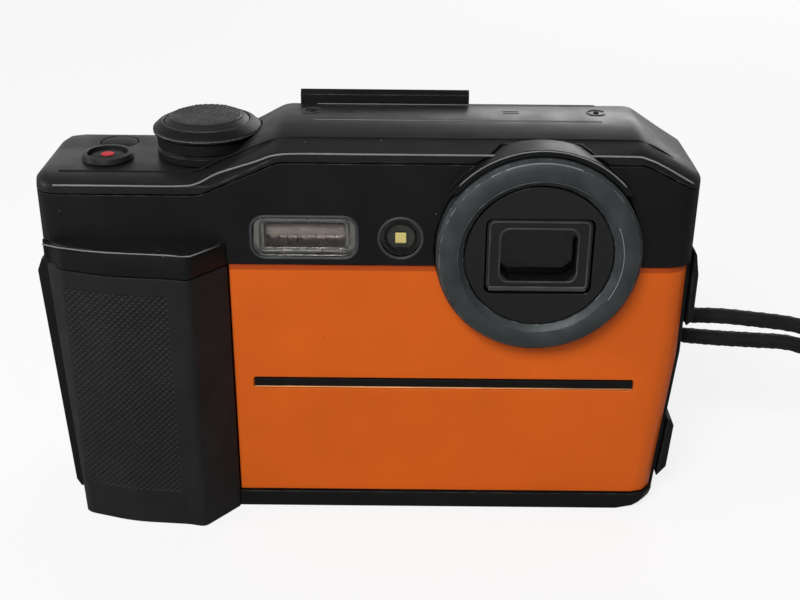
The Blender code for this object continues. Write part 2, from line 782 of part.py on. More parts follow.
def guide_rods():
    low = BARREL_BOTTOM + BARREL_WALL + GAP
    length = SHELF_Z - GAP - low
    for name, x in rod_places().items():
        rod = cylinder(name, (x, OPTIC_Y, low), (0, 0, 1), ROD_RADIUS, length, 16)
        finish(rod, (0.6, 0.6, 0.6), 0.25, 1.0)


def lens_group(name, share, thickness, radius):
    """A lens cell on the two guide rods, with its glass standing out of it."""
    low = BARREL_BOTTOM + (SHELF_Z - BARREL_BOTTOM) * share
    width = BARREL_WIDTH - 2 * BARREL_WALL - 2 * GAP
    depth = BARREL_DEPTH - 3.4
    piece = plate(name, rectangle(LENS_X, OPTIC_Y, width, depth, 2.0, 3), "XY", low, low + thickness)
    glass = cylinder(name + "_glass", (LENS_X, OPTIC_Y, low - 0.8), (0, 0, 1), radius, thickness + 1.6, 32)
    boolean(piece, glass, "UNION")
    for rod_name, x in rod_places().items():
        hole = cylinder(name + "_" + rod_name, (x, OPTIC_Y, low - 3), (0, 0, 1), ROD_RADIUS + GAP, 12, 16)
        boolean(piece, hole)
    bake(piece)
    set_origin(piece, (LENS_X, OPTIC_Y, low))
    return finish(piece, (0.05, 0.05, 0.06), 0.4)


def image_sensor():
    low = BARREL_BOTTOM + BARREL_WALL + GAP
    piece = box(
        "image_sensor", (LENS_X - 4.5, OPTIC_Y - 3.8, low), (LENS_X + 4.5, OPTIC_Y + 3.8, low + 1.4)
    )
    return finish(piece, (0.02, 0.05, 0.03), 0.3)


# Flash and lamp


def flash():
    front = rectangle(FLASH_X, FLASH_Z, FLASH_WIDTH, FLASH_HEIGHT, 2.0)
    window = plate("flash_window", front, "XZ", FRONT + 0.3, FRONT + 1.3)
    finish(window, (0.75, 0.72, 0.7), 0.08, 0.0, 0.35)
    low_y = FRONT + 1.3 + GAP
    reflector = plate("flash_reflector", front, "XZ", low_y, FRONT + 6.8)
    bowl = rectangle(FLASH_X, FLASH_Z, FLASH_WIDTH - 3.4, FLASH_HEIGHT - 2.2, 0.6)
    boolean(reflector, plate("bowl", bowl, "XZ", FRONT - 3, FRONT + 6.0))
    finish(reflector, (0.8, 0.8, 0.8), 0.15, 1.0)
    length = FLASH_WIDTH - 3.4 - 2 * GAP
    start = (FLASH_X - length / 2, FRONT + 4.0, FLASH_Z)
    lamp = cylinder("flash_tube", start, (1, 0, 0), 1.0, length, 16)
    finish(lamp, (0.85, 0.75, 0.72), 0.1, 0.0, 0.5)


def focus_lamp():
    start = (LAMP_X, FRONT + 1.5, FLASH_Z)
    window = cylinder("lamp_window", start, (0, -1, 0), LAMP_RADIUS, 1.0, 32)
    finish(window, (0.3, 0.3, 0.28), 0.08, 0.0, 0.4)
    low = (LAMP_X - 2.4, FRONT + 1.5 + GAP, FLASH_Z - 2.4)
    lamp = box("lamp_led", low, (LAMP_X + 2.4, FRONT + 5.0, FLASH_Z + 2.4), 0.4)
    finish(lamp, (0.9, 0.8, 0.5), 0.3)


# Top controls


def shutter():
    bore = SHUTTER_RADIUS + GAP
    profile = [
        (bore, COLLAR_HEIGHT + 0.4),
        (COLLAR_RADIUS - 0.9, COLLAR_HEIGHT + 0.1),
        (COLLAR_RADIUS, COLLAR_HEIGHT - 0.7),
        (COLLAR_RADIUS, COLLAR_HEIGHT - 1.3),
        (COLLAR_RADIUS - 0.6, COLLAR_HEIGHT - 1.7),
        (COLLAR_RADIUS - 0.6, 1.9),
        (COLLAR_RADIUS - 0.9, 1.7),
        (COLLAR_RADIUS - 0.9, 1.5),
        (COLLAR_RADIUS - 0.5, 1.3),
        (COLLAR_RADIUS - 0.5, 0.0),
        (bore - 3.0, 0.0),
        (bore - 3.0, 2.6),
        (bore, 2.6),
    ]
    collar = turned("shutter_collar", profile, (SHUTTER_X, SHUTTER_Y, DECK_Z + GAP), (0, 0, 1), 56)
    finish(collar, (0.02, 0.021, 0.022), 0.35, 0.3)
    low = 2.6 + GAP + SHUTTER_TRAVEL + 0.2
    top = 6.9 - GAP
    profile = [
        (0, top + 0.1),
        (SHUTTER_RADIUS - 1.3, top),
        (SHUTTER_RADIUS - 0.7, top - 0.2),
        (SHUTTER_RADIUS, top - 0.8),
        (SHUTTER_RADIUS, low),
        (0, low),
    ]
    button = turned("shutter_button", profile, (SHUTTER_X, SHUTTER_Y, DECK_Z + GAP), (0, 0, 1), 48)
    finish(button, (0.015, 0.016, 0.017), 0.5, 0.2)


def record_and_power():
    bore = RECORD_RADIUS + BUTTON_CLEARANCE
    profile = [(bore, 1.0), (bore + 0.7, 0.9), (bore + 1.0, 0.0), (bore, 0.0)]
    ring = turned("record_ring", profile, (RECORD_X, RECORD_Y, DECK_Z + GAP), (0, 0, 1), 40)
    finish(ring, BLACK, 0.4)
    low = DECK_Z - 1.9 + BUTTON_TRAVEL + GAP
    for name, y, top in (
        ("record_button", RECORD_Y, DECK_Z + 0.9),
        ("power_button", POWER_Y, DECK_Z + 0.25),
    ):
        height = top - low
        profile = [
            (0, height),
            (RECORD_RADIUS - 0.65, height - 0.05),
            (RECORD_RADIUS, height - 0.3),
            (RECORD_RADIUS, 0),
            (0, 0),
        ]
        button = turned(name, profile, (RECORD_X, y, low), (0, 0, 1), 32)
        finish(button, (0.014, 0.014, 0.015), 0.4)


# Viewfinder


def viewfinder():
    half = FINDER_WIDTH / 2
    outline = rounded(
        [
            (FINDER_FRONT, FINDER_LOW, 0),
            (FINDER_BACK, FINDER_LOW, 0.6),
            (FINDER_BACK, HEIGHT - 3.2, 4.5),
            (FINDER_FRONT + 1.0, HEIGHT, 0.4),
            (FINDER_FRONT, HEIGHT - 0.8, 0),
        ],
        5,
    )
    housing = plate("finder_housing", outline, "YZ", FINDER_X - half, FINDER_X + half)
    bake(housing)
    add_bevel(housing, 2.2, 4, 70.0)
    eye = rectangle(FINDER_X, EYE_Z, 12.6, 9.0, 1.5)
    boolean(housing, plate("eye_way", eye, "XZ", FINDER_BACK - 3.2, FINDER_BACK + 5))
    finish(housing, DARK, 0.5)
    rim = plate(
        "eyecup", rectangle(FINDER_X, EYE_Z - 0.2, 21.0, 13.4, 3.0), "XZ", FINDER_BACK + GAP, BACK + EYECUP_REACH
    )
    boolean(rim, plate("eyecup_way", eye, "XZ", FINDER_BACK - 5, BACK + 20))
    finish(rim, (0.01, 0.01, 0.01), 0.8)
    glass = rectangle(FINDER_X, EYE_Z, 12.6 - 2 * GAP, 9.0 - 2 * GAP, 1.3)
    eyepiece = plate("eyepiece", glass, "XZ", FINDER_BACK - 3.2 + GAP, FINDER_BACK - 1.4)
    finish(eyepiece, (0.2, 0.22, 0.25), 0.05, 0.0, 0.4)


def rear_button(name, x, z, radius):
    length = BUTTON_REACH + 2.7
    profile = [
        (0, length),
        (radius - 0.5, length - 0.05),
        (radius, length - 0.4),
        (radius, 0),
        (0, 0),
    ]
    button = turned(name, profile, (x, BACK - 2.7, z), (0, 1, 0), 24)
    return finish(button, (0.015, 0.015, 0.016), 0.5)


def rear_controls():
    for name, (x, z, radius) in REAR_BUTTONS.items():
        rear_button(name, x, z, radius)
    bore = SET_RADIUS + GAP
    profile = [
        (bore, BUTTON_REACH + 2.2),
        (PAD_RADIUS - 1.2, BUTTON_REACH + 2.4),
        (PAD_RADIUS, BUTTON_REACH + 1.8),
        (PAD_RADIUS, 0.4),
        (bore, 0.4),
    ]
    pad = turned("four_way_pad", profile, (PAD_X, BACK - 2.2, PAD_Z), (0, 1, 0), 40)
    finish(pad, (0.015, 0.015, 0.016), 0.5)
    rear_button("set_button", PAD_X, PAD_Z, SET_RADIUS)
    dial = cylinder("diopter_dial", (DIAL_X, BACK - 2.0, DIAL_Z), (0, 1, 0), DIAL_RADIUS, 3.2, 20)
    set_origin(dial, (DIAL_X, BACK - 2.0, DIAL_Z))
    finish(dial, BLACK, 0.5)


def screen():
    outline = rectangle(SCREEN_X, SCREEN_Z, SCREEN_WIDTH, SCREEN_HEIGHT, 1.3)
    window = plate("screen_window", outline, "XZ", BACK - 1.2, BACK - 0.1)
    finish(window, (0.02, 0.02, 0.025), 0.05, 0.0, 0.9)
    half_width, half_height = SCREEN_WIDTH / 2 - 0.5, SCREEN_HEIGHT / 2 - 0.5
    back = BACK - WALL - GAP
    low = (SCREEN_X - half_width, back - 2.2, SCREEN_Z - half_height)
    panel = box("screen_panel", low, (SCREEN_X + half_width, back, SCREEN_Z + half_height))
    finish(panel, (0.03, 0.03, 0.035), 0.3)


# Side door, battery and card


def door_outer(z):
    return LEFT + SIDE_TAPER - 1.3 - (SIDE_TAPER + WIDTH / 2 + LEFT - 1.3) * min(z, DOOR_SHOULDER) / DOOR_SHOULDER


def side_door():
    inner = RECESS_X - 0.7
    outline = [
        (inner, DOOR_BOTTOM),
        (inner, DOOR_TOP),
        (-WIDTH / 2 + 0.9, DOOR_TOP),
        (-WIDTH / 2, DOOR_SHOULDER),
        (door_outer(DOOR_BOTTOM + 1.5), DOOR_BOTTOM + 1.5),
        (door_outer(DOOR_BOTTOM) + 0.7, DOOR_BOTTOM),
    ]
    slab = plate("side_door", outline, "XZ", DOOR_FRONT, HINGE_Y - 1.2)
    web_low = (HINGE_X - 1.0, HINGE_Y - 1.9, KNUCKLE_LOW)
    boolean(slab, box("door_web", web_low, (HINGE_X + 1.0, HINGE_Y - 0.2, KNUCKLE_HIGH)), "UNION")
    length = KNUCKLE_HIGH - KNUCKLE_LOW
    knuckle = cylinder(
        "knuckle", (HINGE_X, HINGE_Y, KNUCKLE_LOW), (0, 0, 1), HINGE_RADIUS, length, 24
    )
    boolean(slab, knuckle, "UNION")
    for title, (z_low, z_high) in (("low_gap", (-5, KNUCKLE_LOW)), ("high_gap", (KNUCKLE_HIGH, HEIGHT))):
        low = (LEFT - 9, HINGE_Y - 2.1, z_low)
        boolean(slab, box(title, low, (RECESS_X + 1, HINGE_Y + 3, z_high)))
    boolean(slab, cylinder("door_pin_hole", (HINGE_X, HINGE_Y, 0), (0, 0, 1), PIN_RADIUS + GAP, 60, 20))
    for title, (y, z, width, height) in DOOR_SLIDES.items():
        low = (-WIDTH / 2 - 5, y - width / 2 - GAP, z - height / 2 - GAP)
        high = (DOOR_SLIDE_INNER, y + width / 2 + GAP, z + height / 2 + GAP + DOOR_SLIDE_TRAVEL)
        boolean(slab, box(title + "_track", low, high))
    bake(slab)
    set_origin(slab, (HINGE_X, HINGE_Y, 0))
    return finish(slab, BLACK, 0.55)


def door_slides():
    for name, (y, z, width, height) in DOOR_SLIDES.items():
        outer = door_outer(z) - 0.1
        low = (outer, y - width / 2, z - height / 2)
        high = (DOOR_SLIDE_INNER - GAP, y + width / 2, z + height / 2)
        slide = box(name, low, high, 0.3)
        finish(slide, (0.03, 0.03, 0.03), 0.5)


def hinge_pin():
    low = PIN_LOW + GAP
    length = KNUCKLE_HIGH + LUG_GAP + LUG_HEIGHT - GAP - low
    pin = cylinder("hinge_pin", (HINGE_X, HINGE_Y, low), (0, 0, 1), PIN_RADIUS, length, 16)
    return finish(pin, (0.6, 0.6, 0.6), 0.3, 1.0)


def holder(name, low, high, wall):
    """An open-ended box round a slide-in piece, open towards the side door."""
    outer_low = (INNER_WALL_X + HOLDER_GAP, low[1] - GAP - wall, low[2] - GAP - wall)
    outer_high = (high[0] + GAP + wall, high[1] + GAP + wall, high[2] + GAP + wall)
    piece = box(name, outer_low, outer_high)
    room_low = (INNER_WALL_X - 5, low[1] - GAP, low[2] - GAP)
    room_high = (high[0] + GAP, high[1] + GAP, high[2] + GAP)
    return boolean(piece, box(name + "_room", room_low, room_high))


def battery_and_card():
    low = (BATTERY_X, BATTERY_Y, BATTERY_Z)
    high = (BATTERY_X + BATTERY_LENGTH, BATTERY_Y + BATTERY_THICKNESS, BATTERY_Z + BATTERY_HEIGHT)
    finish(box("battery", low, high, 0.8), (0.04, 0.04, 0.045), 0.5)
    finish(holder("battery_bay", low, high, 0.7), (0.05, 0.05, 0.05), 0.6)
    low = (BATTERY_X, CARD_Y, CARD_Z)
    high = (BATTERY_X + CARD_LENGTH, CARD_Y + CARD_THICKNESS, CARD_Z + CARD_HEIGHT)
    finish(box("memory_card", low, high, 0.2), (0.02, 0.03, 0.08), 0.5)
    finish(holder("card_slot", low, high, 0.4), (0.6, 0.6, 0.6), 0.3, 1.0)


def inside():
    right = LENS_X - BARREL_WIDTH / 2 - 1.5
    low = (BOARD_LEFT, FRONT + 18.2, SCREEN_BOTTOM)
    board = box("main_board", low, (right, FRONT + 19.4, SCREEN_TOP))
    finish(board, (0.02, 0.12, 0.05), 0.5)
    start = (BOARD_LEFT + 7, FRONT + 13.4, 9.0)
    capacitor = cylinder("flash_capacitor", start, (0, 0, 1), 4.5, 28, 24)
    finish(capacitor, (0.05, 0.05, 0.06), 0.3)


# Strap


def right_side(z):
    return RIGHT - SIDE_TAPER * max(0.0, 1 - z / SIDE_FOOT_Z)


def strap_guards():
    inner = RIGHT + GAP
    outline = [
        (inner, SHOULDER_Z - 13.2),
        (inner, SHOULDER_Z + 1.8),
        (inner + 0.5, SHOULDER_Z + 0.8),
        (WIDTH / 2, SHOULDER_Z - 3.0),
        (WIDTH / 2, SHOULDER_Z - 12.0),
    ]
    upper = plate("upper_strap_guard", outline, "XZ", FRONT + 3.4, BACK - 5.0, 0.2, 1)
    finish(upper, BLACK, 0.6)
    low, high = LOWER_GUARD
    outline = [
        (right_side(low) + GAP, low),
        (right_side(high) + GAP, high),
        (right_side(high) + 1.5, high - 1.4),
        (right_side(low) + 2.0, low + 2.2),
    ]
    lower = plate("lower_strap_guard", outline, "XZ", FRONT + 3.4, BACK - 5.0, 0.2, 1)
    finish(lower, BLACK, 0.6)


def strap_lug():
    low = (RIGHT + GAP, STRAP_Y - 3.4, STRAP_Z - 4.6)
    lug = box("strap_lug", low, (WIDTH / 2, STRAP_Y + 3.4, STRAP_Z + 4.3), 0.3)
    return finish(lug, BLACK, 0.5)


def smooth_route(points, spacing):
    """Evenly spaced points on a Catmull-Rom curve through the route's own points."""
    places = [Vector(point) for point in points]
    padded = [2 * places[0] - places[1], *places, 2 * places[-1] - places[-2]]
    dense = []
    for a, b, c, d in zip(padded, padded[1:], padded[2:], padded[3:]):
        for step in range(20):
            t = step / 20
            dense.append(
                0.5 * (2 * b + (c - a) * t + (2 * a - 5 * b + 4 * c - d) * t**2 + (3 * b - a - 3 * c + d) * t**3)
            )
    dense.append(places[-1])
    length = sum((b - a).length for a, b in zip(dense, dense[1:]))
    count = max(2, round(length / spacing))
    route = [dense[0]]
    travelled = 0.0
    for a, b in zip(dense, dense[1:]):
        piece = (b - a).length
        while len(route) < count and travelled + piece >= length * len(route) / count:
            share = (length * len(route) / count - travelled) / piece
            route.append(a.lerp(b, share))
        travelled += piece
    route.append(dense[-1])
    return route


def strap():
    for name, points in (("strap_upper", STRAP_UPPER), ("strap_lower", STRAP_LOWER)):
        cord = tube(name, smooth_route(points, 2.2 * CORD_DIAMETER), CORD_DIAMETER / 2)
        finish(cord, BLACK, 0.9)
    low = (JOINER_START, STRAP_Y - JOINER_WIDTH / 2, JOINER_Z - JOINER_HEIGHT / 2)
    high = (JOINER_START + JOINER_LENGTH, STRAP_Y + JOINER_WIDTH / 2, JOINER_Z + JOINER_HEIGHT / 2)
    finish(box("strap_joiner", low, high, 0.8, 3), (0.05, 0.05, 0.05), 0.5)
    inner = COIL_MIDDLE_RADIUS - CORD_DIAMETER * COIL_TURNS_WIDE / 2
    outer = COIL_MIDDLE_RADIUS + CORD_DIAMETER * COIL_TURNS_WIDE / 2
    low = 0.3
    high = low + CORD_DIAMETER * COIL_TURNS_HIGH
    profile = [(inner + 0.8, high), (outer - 0.8, high), (outer, high - 0.8), (outer, low + 0.8)]
    profile += [(outer - 0.8, low), (inner + 0.8, low), (inner, low + 0.8), (inner, high - 0.8)]
    centre = (JOINER_START + JOINER_LENGTH + GAP + outer, STRAP_Y, 0)
    coil = turned("wrist_cord", profile, centre, (0, 0, 1), 36)
    finish(coil, BLACK, 0.9)


def tripod_socket():
    profile = [
        (TRIPOD_RADIUS, TRIPOD_DEPTH),
        (TRIPOD_RADIUS, 0.2),
        (TRIPOD_BORE, 0.2),
        (TRIPOD_BORE, TRIPOD_DEPTH),
    ]
    socket = turned("tripod_socket", profile, (TRIPOD_X, TRIPOD_Y, 0), (0, 0, 1), 32)
    return finish(socket, (0.6, 0.55, 0.4), 0.35, 1.0)


front_case()
rear_case()
top_cover()
front_plate()
grip()
grip_band()
lens_ring()
lens_plate()
window_frame()
lens_window()
lens_barrel()
prism()
guide_rods()
lens_group("zoom_group", ZOOM_SHARE, 3.6, 4.4)
lens_group("focus_group", FOCUS_SHARE, 3.0, 3.8)
image_sensor()
flash()
focus_lamp()
shutter()
record_and_power()
viewfinder()
rear_controls()
screen()
side_door()
door_slides()
hinge_pin()
battery_and_card()
inside()
strap_guards()
strap_lug()
strap()
tripod_socket()
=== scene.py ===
"""Looks of the rugged compact camera: cords, detail pieces and materials around its CAD frame, in metres."""

import math

import bmesh
import bpy
from mathutils import Matrix, Vector


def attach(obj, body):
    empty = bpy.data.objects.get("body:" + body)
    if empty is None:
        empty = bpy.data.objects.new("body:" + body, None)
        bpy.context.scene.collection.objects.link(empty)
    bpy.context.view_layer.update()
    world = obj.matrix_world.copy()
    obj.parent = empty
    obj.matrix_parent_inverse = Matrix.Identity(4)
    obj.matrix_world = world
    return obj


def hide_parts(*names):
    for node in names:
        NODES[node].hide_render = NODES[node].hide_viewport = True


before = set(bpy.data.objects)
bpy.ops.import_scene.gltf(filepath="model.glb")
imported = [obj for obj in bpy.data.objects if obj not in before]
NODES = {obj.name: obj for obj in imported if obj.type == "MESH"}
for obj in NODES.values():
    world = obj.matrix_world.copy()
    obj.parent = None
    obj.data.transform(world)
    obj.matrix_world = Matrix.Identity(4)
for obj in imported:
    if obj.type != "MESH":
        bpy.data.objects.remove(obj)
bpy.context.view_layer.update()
MM = 0.001

# Camera, solved from the corners of the body in the photo: millimetres and degrees
CAMERA_PLACE = (5.46, -203.70, 137.0)
CAMERA_PITCH = 25.86
CAMERA_ROLL = 0.53
FOCAL_LENGTH = 54.6
SENSOR_WIDTH = 36.0

# Lights: name, place and height of the target in metres, size in metres, watts
LIGHTS = (
    ("key", (-0.2, -0.62, 0.60), 0.04, (0.45, 0.3), 6.6),
    ("back", (0.3, 0.7, 0.35), 0.05, (0.5, 0.3), 2.0),
    ("left", (-0.7, -0.1, 0.25), 0.04, (0.3, 0.3), 1.2),
)

# Body, in millimetres, as the CAD has it
WIDTH = 116.7
HEIGHT = 75.6
DEPTH = 37.3
LEFT = -WIDTH / 2 + 1.05
RIGHT = WIDTH / 2 - 1.45
FRONT = -DEPTH / 2 + 7.1
DECK_Z = HEIGHT - 9.9
HUMP_Z = HEIGHT - 2.3
SHOULDER_Z = 50.6
BAND_TOP = 55.0
PLATE_SINK = 0.5
LENS = (29.1, 53.6)
RING_REACH = 3.95
FLASH = (-11.1, 55.6)
LAMP_X = 5.5
SHUTTER = (-29.0, FRONT + 15.0)
RECORD = (-46.2, FRONT + 11.0)

# Detail pieces, in millimetres
KNURL_TOP = DECK_Z + 7.05
KNURL_RADIUS = 6.4
KNURL_PITCH = 1.05
KNURL_HEIGHT = 0.16
KNURL_RINGS = 32
KNURL_SIDES = 96
GRIP_PANEL_X = (-52.6, -34.3)
GRIP_PANEL_Z = (7.5, 46.9)
GRIP_PITCH = 1.15
GROOVE_ENDS = (-9.7, 40.2)
GROOVE_DEPTHS = (11.0, 20.5)
MICROPHONES_X = (-10.3, 39.9)
MICROPHONE_DEPTH = 16.0
MICROPHONE_RADIUS = 1.6
SPEAKERS_X = (-4.5, 24.8)
SPEAKER_DEPTHS = (15.2, 16.3)
SPEAKER_HALF = 1.4
MARK_SINK = 0.3
MARK_RISE = 0.03
COLLAR_LOW = DECK_Z + 0.3
COLLAR_EDGE_RADIUS = 9.42
COLLAR_RIM_RADIUS = 7.75
SHROUD_EDGE_RADIUS = 18.75
RECORD_TOP = DECK_Z + 0.86
DOT_RADIUS = 1.15
DOT_HEIGHT = 0.12
FLASH_RIBS = 9
FLASH_RIB_PITCH = 1.65
LAMP_BEZEL_RADIUS = 3.75
LAMP_RING_RADIUS = 2.6
CHIP_HALF = 0.95
FRAME_FACE = FRONT - 2.3
PLATE_FACE = FRONT + PLATE_SINK
SLOT_ENDS = (-20.9, 48.0)
SLOT_Z = LENS[1] - 26.9
BEAD_SIDES = 8

# The grip band's top edge from above: x, and how far it stands in front of the body
BAND_EDGE = [
    (-55.6, 2.2), (-52.7, 3.5), (-48.0, 4.8), (-44.0, 5.5), (-38.0, 6.0),
    (-33.6, 6.4), (-31.0, 6.85), (-29.8, 6.8), (-28.0, 4.9), (-25.4, 1.9),
]

# Strap routes, as the CAD has them
STRAP_UPPER = [
    (58.7, 2.4, 34.5), (66.0, 2.4, 34.4), (73.0, 2.4, 33.7), (80.0, 2.5, 32.7), (86.0, 2.8, 30.8),
    (91.0, 3.3, 27.0), (94.2, 3.8, 21.8), (96.0, 4.1, 16.0), (97.4, 4.1, 10.6), (99.4, 4.1, 6.4),
    (101.6, 4.1, 4.4), (103.6, 4.1, 4.0), (105.5, 4.1, 4.0),
]
STRAP_LOWER = [
    (58.7, 2.4, 30.3), (66.0, 2.4, 29.7), (73.0, 2.4, 29.3), (80.0, 2.3, 28.8), (85.0, 1.9, 27.0),
    (89.2, 1.3, 23.2), (92.0, 0.8, 17.8), (94.0, 0.6, 12.4), (96.2, 0.6, 7.8), (98.6, 0.6, 5.1),
    (101.2, 0.6, 4.2), (103.6, 0.6, 4.0), (105.5, 0.6, 4.0),
]
CORD_DIAMETER = 3.0
CORD_SIDES = 24
BRAID_STRANDS = 8
BRAID_PITCH = 5.2
COIL_CENTRE = (135.4, 2.4)
COIL_INNER = 14.7
COIL_OUTER = 17.7
COIL_LOW = 1.8
COIL_HIGH = 4.8
JOINER_END = 115.9


# Camera, lights and floor


def camera():
    pitch = math.radians(CAMERA_PITCH)
    roll = math.radians(CAMERA_ROLL)
    right = Vector((1, 0, 0))
    up = Vector((0, math.sin(pitch), math.cos(pitch)))
    forward = Vector((0, math.cos(pitch), -math.sin(pitch)))
    x_axis = right * math.cos(roll) + up * math.sin(roll)
    y_axis = up * math.cos(roll) - right * math.sin(roll)
    data = bpy.data.cameras.new("camera")
    data.lens = FOCAL_LENGTH
    data.sensor_width = SENSOR_WIDTH
    data.clip_start = 0.01
    obj = bpy.data.objects.new("camera", data)
    bpy.context.scene.collection.objects.link(obj)
    turn = Matrix((x_axis, y_axis, -forward)).transposed()
    obj.matrix_world = Matrix.Translation(Vector(CAMERA_PLACE) * MM) @ turn.to_4x4()
    bpy.context.scene.camera = obj


def area_light(name, place, target, size, power):
    data = bpy.data.lights.new(name, "AREA")
    data.shape = "RECTANGLE"
    data.size, data.size_y = size
    data.energy = power
    obj = bpy.data.objects.new(name, data)
    bpy.context.scene.collection.objects.link(obj)
    obj.location = place
    obj.rotation_mode = "QUATERNION"
    obj.rotation_quaternion = (Vector(target) - Vector(place)).to_track_quat("-Z", "Y")


def studio():
    """A white surround for the camera, and a dimmer one, brightest low at the back, for the reflections."""
    world = bpy.data.worlds.new("studio")
    world.use_nodes = True
    bpy.context.scene.world = world
    tree = world.node_tree
    background = tree.nodes["Background"]
    background.inputs["Color"].default_value = (1.0, 1.0, 1.0, 1.0)
    direction = tree.nodes.new("ShaderNodeTexCoord")
    split = tree.nodes.new("ShaderNodeSeparateXYZ")
    tree.links.new(direction.outputs["Generated"], split.inputs[0])
    behind = range_node(tree, split.outputs["Y"], 0.0, 0.9, 0.0, 1.0)
    low = range_node(tree, split.outputs["Z"], 0.35, 0.8, 1.0, 0.12)
    share = tree.nodes.new("ShaderNodeMath")
    share.operation = "MULTIPLY"
    tree.links.new(behind, share.inputs[0])
    tree.links.new(low, share.inputs[1])
    strength = range_node(tree, share.outputs[0], 0.0, 1.0, 0.16, 0.85)
    path = tree.nodes.new("ShaderNodeLightPath")
    choice = tree.nodes.new("ShaderNodeMix")
    tree.links.new(path.outputs["Is Camera Ray"], choice.inputs["Factor"])
    tree.links.new(strength, choice.inputs["A"])
    choice.inputs["B"].default_value = 1.0
    tree.links.new(choice.outputs["Result"], background.inputs["Strength"])
    for name, place, aim, size, power in LIGHTS:
        area_light(name, place, (0, 0, aim), size, power)
    bpy.context.scene.view_settings.view_transform = "Standard"


def range_node(tree, value, low, high, to_low, to_high):
    node = tree.nodes.new("ShaderNodeMapRange")
    tree.links.new(value, node.inputs["Value"])
    for name, number in zip(("From Min", "From Max", "To Min", "To Max"), (low, high, to_low, to_high)):
        node.inputs[name].default_value = number
    return node.outputs["Result"]


def floor():
    """A white table: nearly shadowless for the camera, and light grey in reflections."""
    bm = bmesh.new()
    bmesh.ops.create_grid(bm, x_segments=1, y_segments=1, size=3.0)
    mesh = bpy.data.meshes.new("floor")
    bm.to_mesh(mesh)
    bm.free()
    obj = bpy.data.objects.new("floor", mesh)
    bpy.context.scene.collection.objects.link(obj)
    obj.location.z = -0.0002
    material = bpy.data.materials.new("floor")
    material.use_nodes = True
    tree = material.node_tree
    tree.nodes.clear()
    grey = tree.nodes.new("ShaderNodeBsdfDiffuse")
    grey.inputs["Color"].default_value = (0.32, 0.32, 0.32, 1)
    white = tree.nodes.new("ShaderNodeBsdfDiffuse")
    white.inputs["Color"].default_value = (0.85, 0.85, 0.85, 1)
    lit = tree.nodes.new("ShaderNodeEmission")
    lift = tree.nodes.new("ShaderNodeMixShader")
    lift.inputs[0].default_value = 0.8
    tree.links.new(white.outputs[0], lift.inputs[1])
    tree.links.new(lit.outputs[0], lift.inputs[2])
    path = tree.nodes.new("ShaderNodeLightPath")
    choice = tree.nodes.new("ShaderNodeMixShader")
    tree.links.new(path.outputs["Is Camera Ray"], choice.inputs[0])
    tree.links.new(grey.outputs[0], choice.inputs[1])
    tree.links.new(lift.outputs[0], choice.inputs[2])
    out = tree.nodes.new("ShaderNodeOutputMaterial")
    tree.links.new(choice.outputs[0], out.inputs[0])
    mesh.materials.append(material)


# Materials


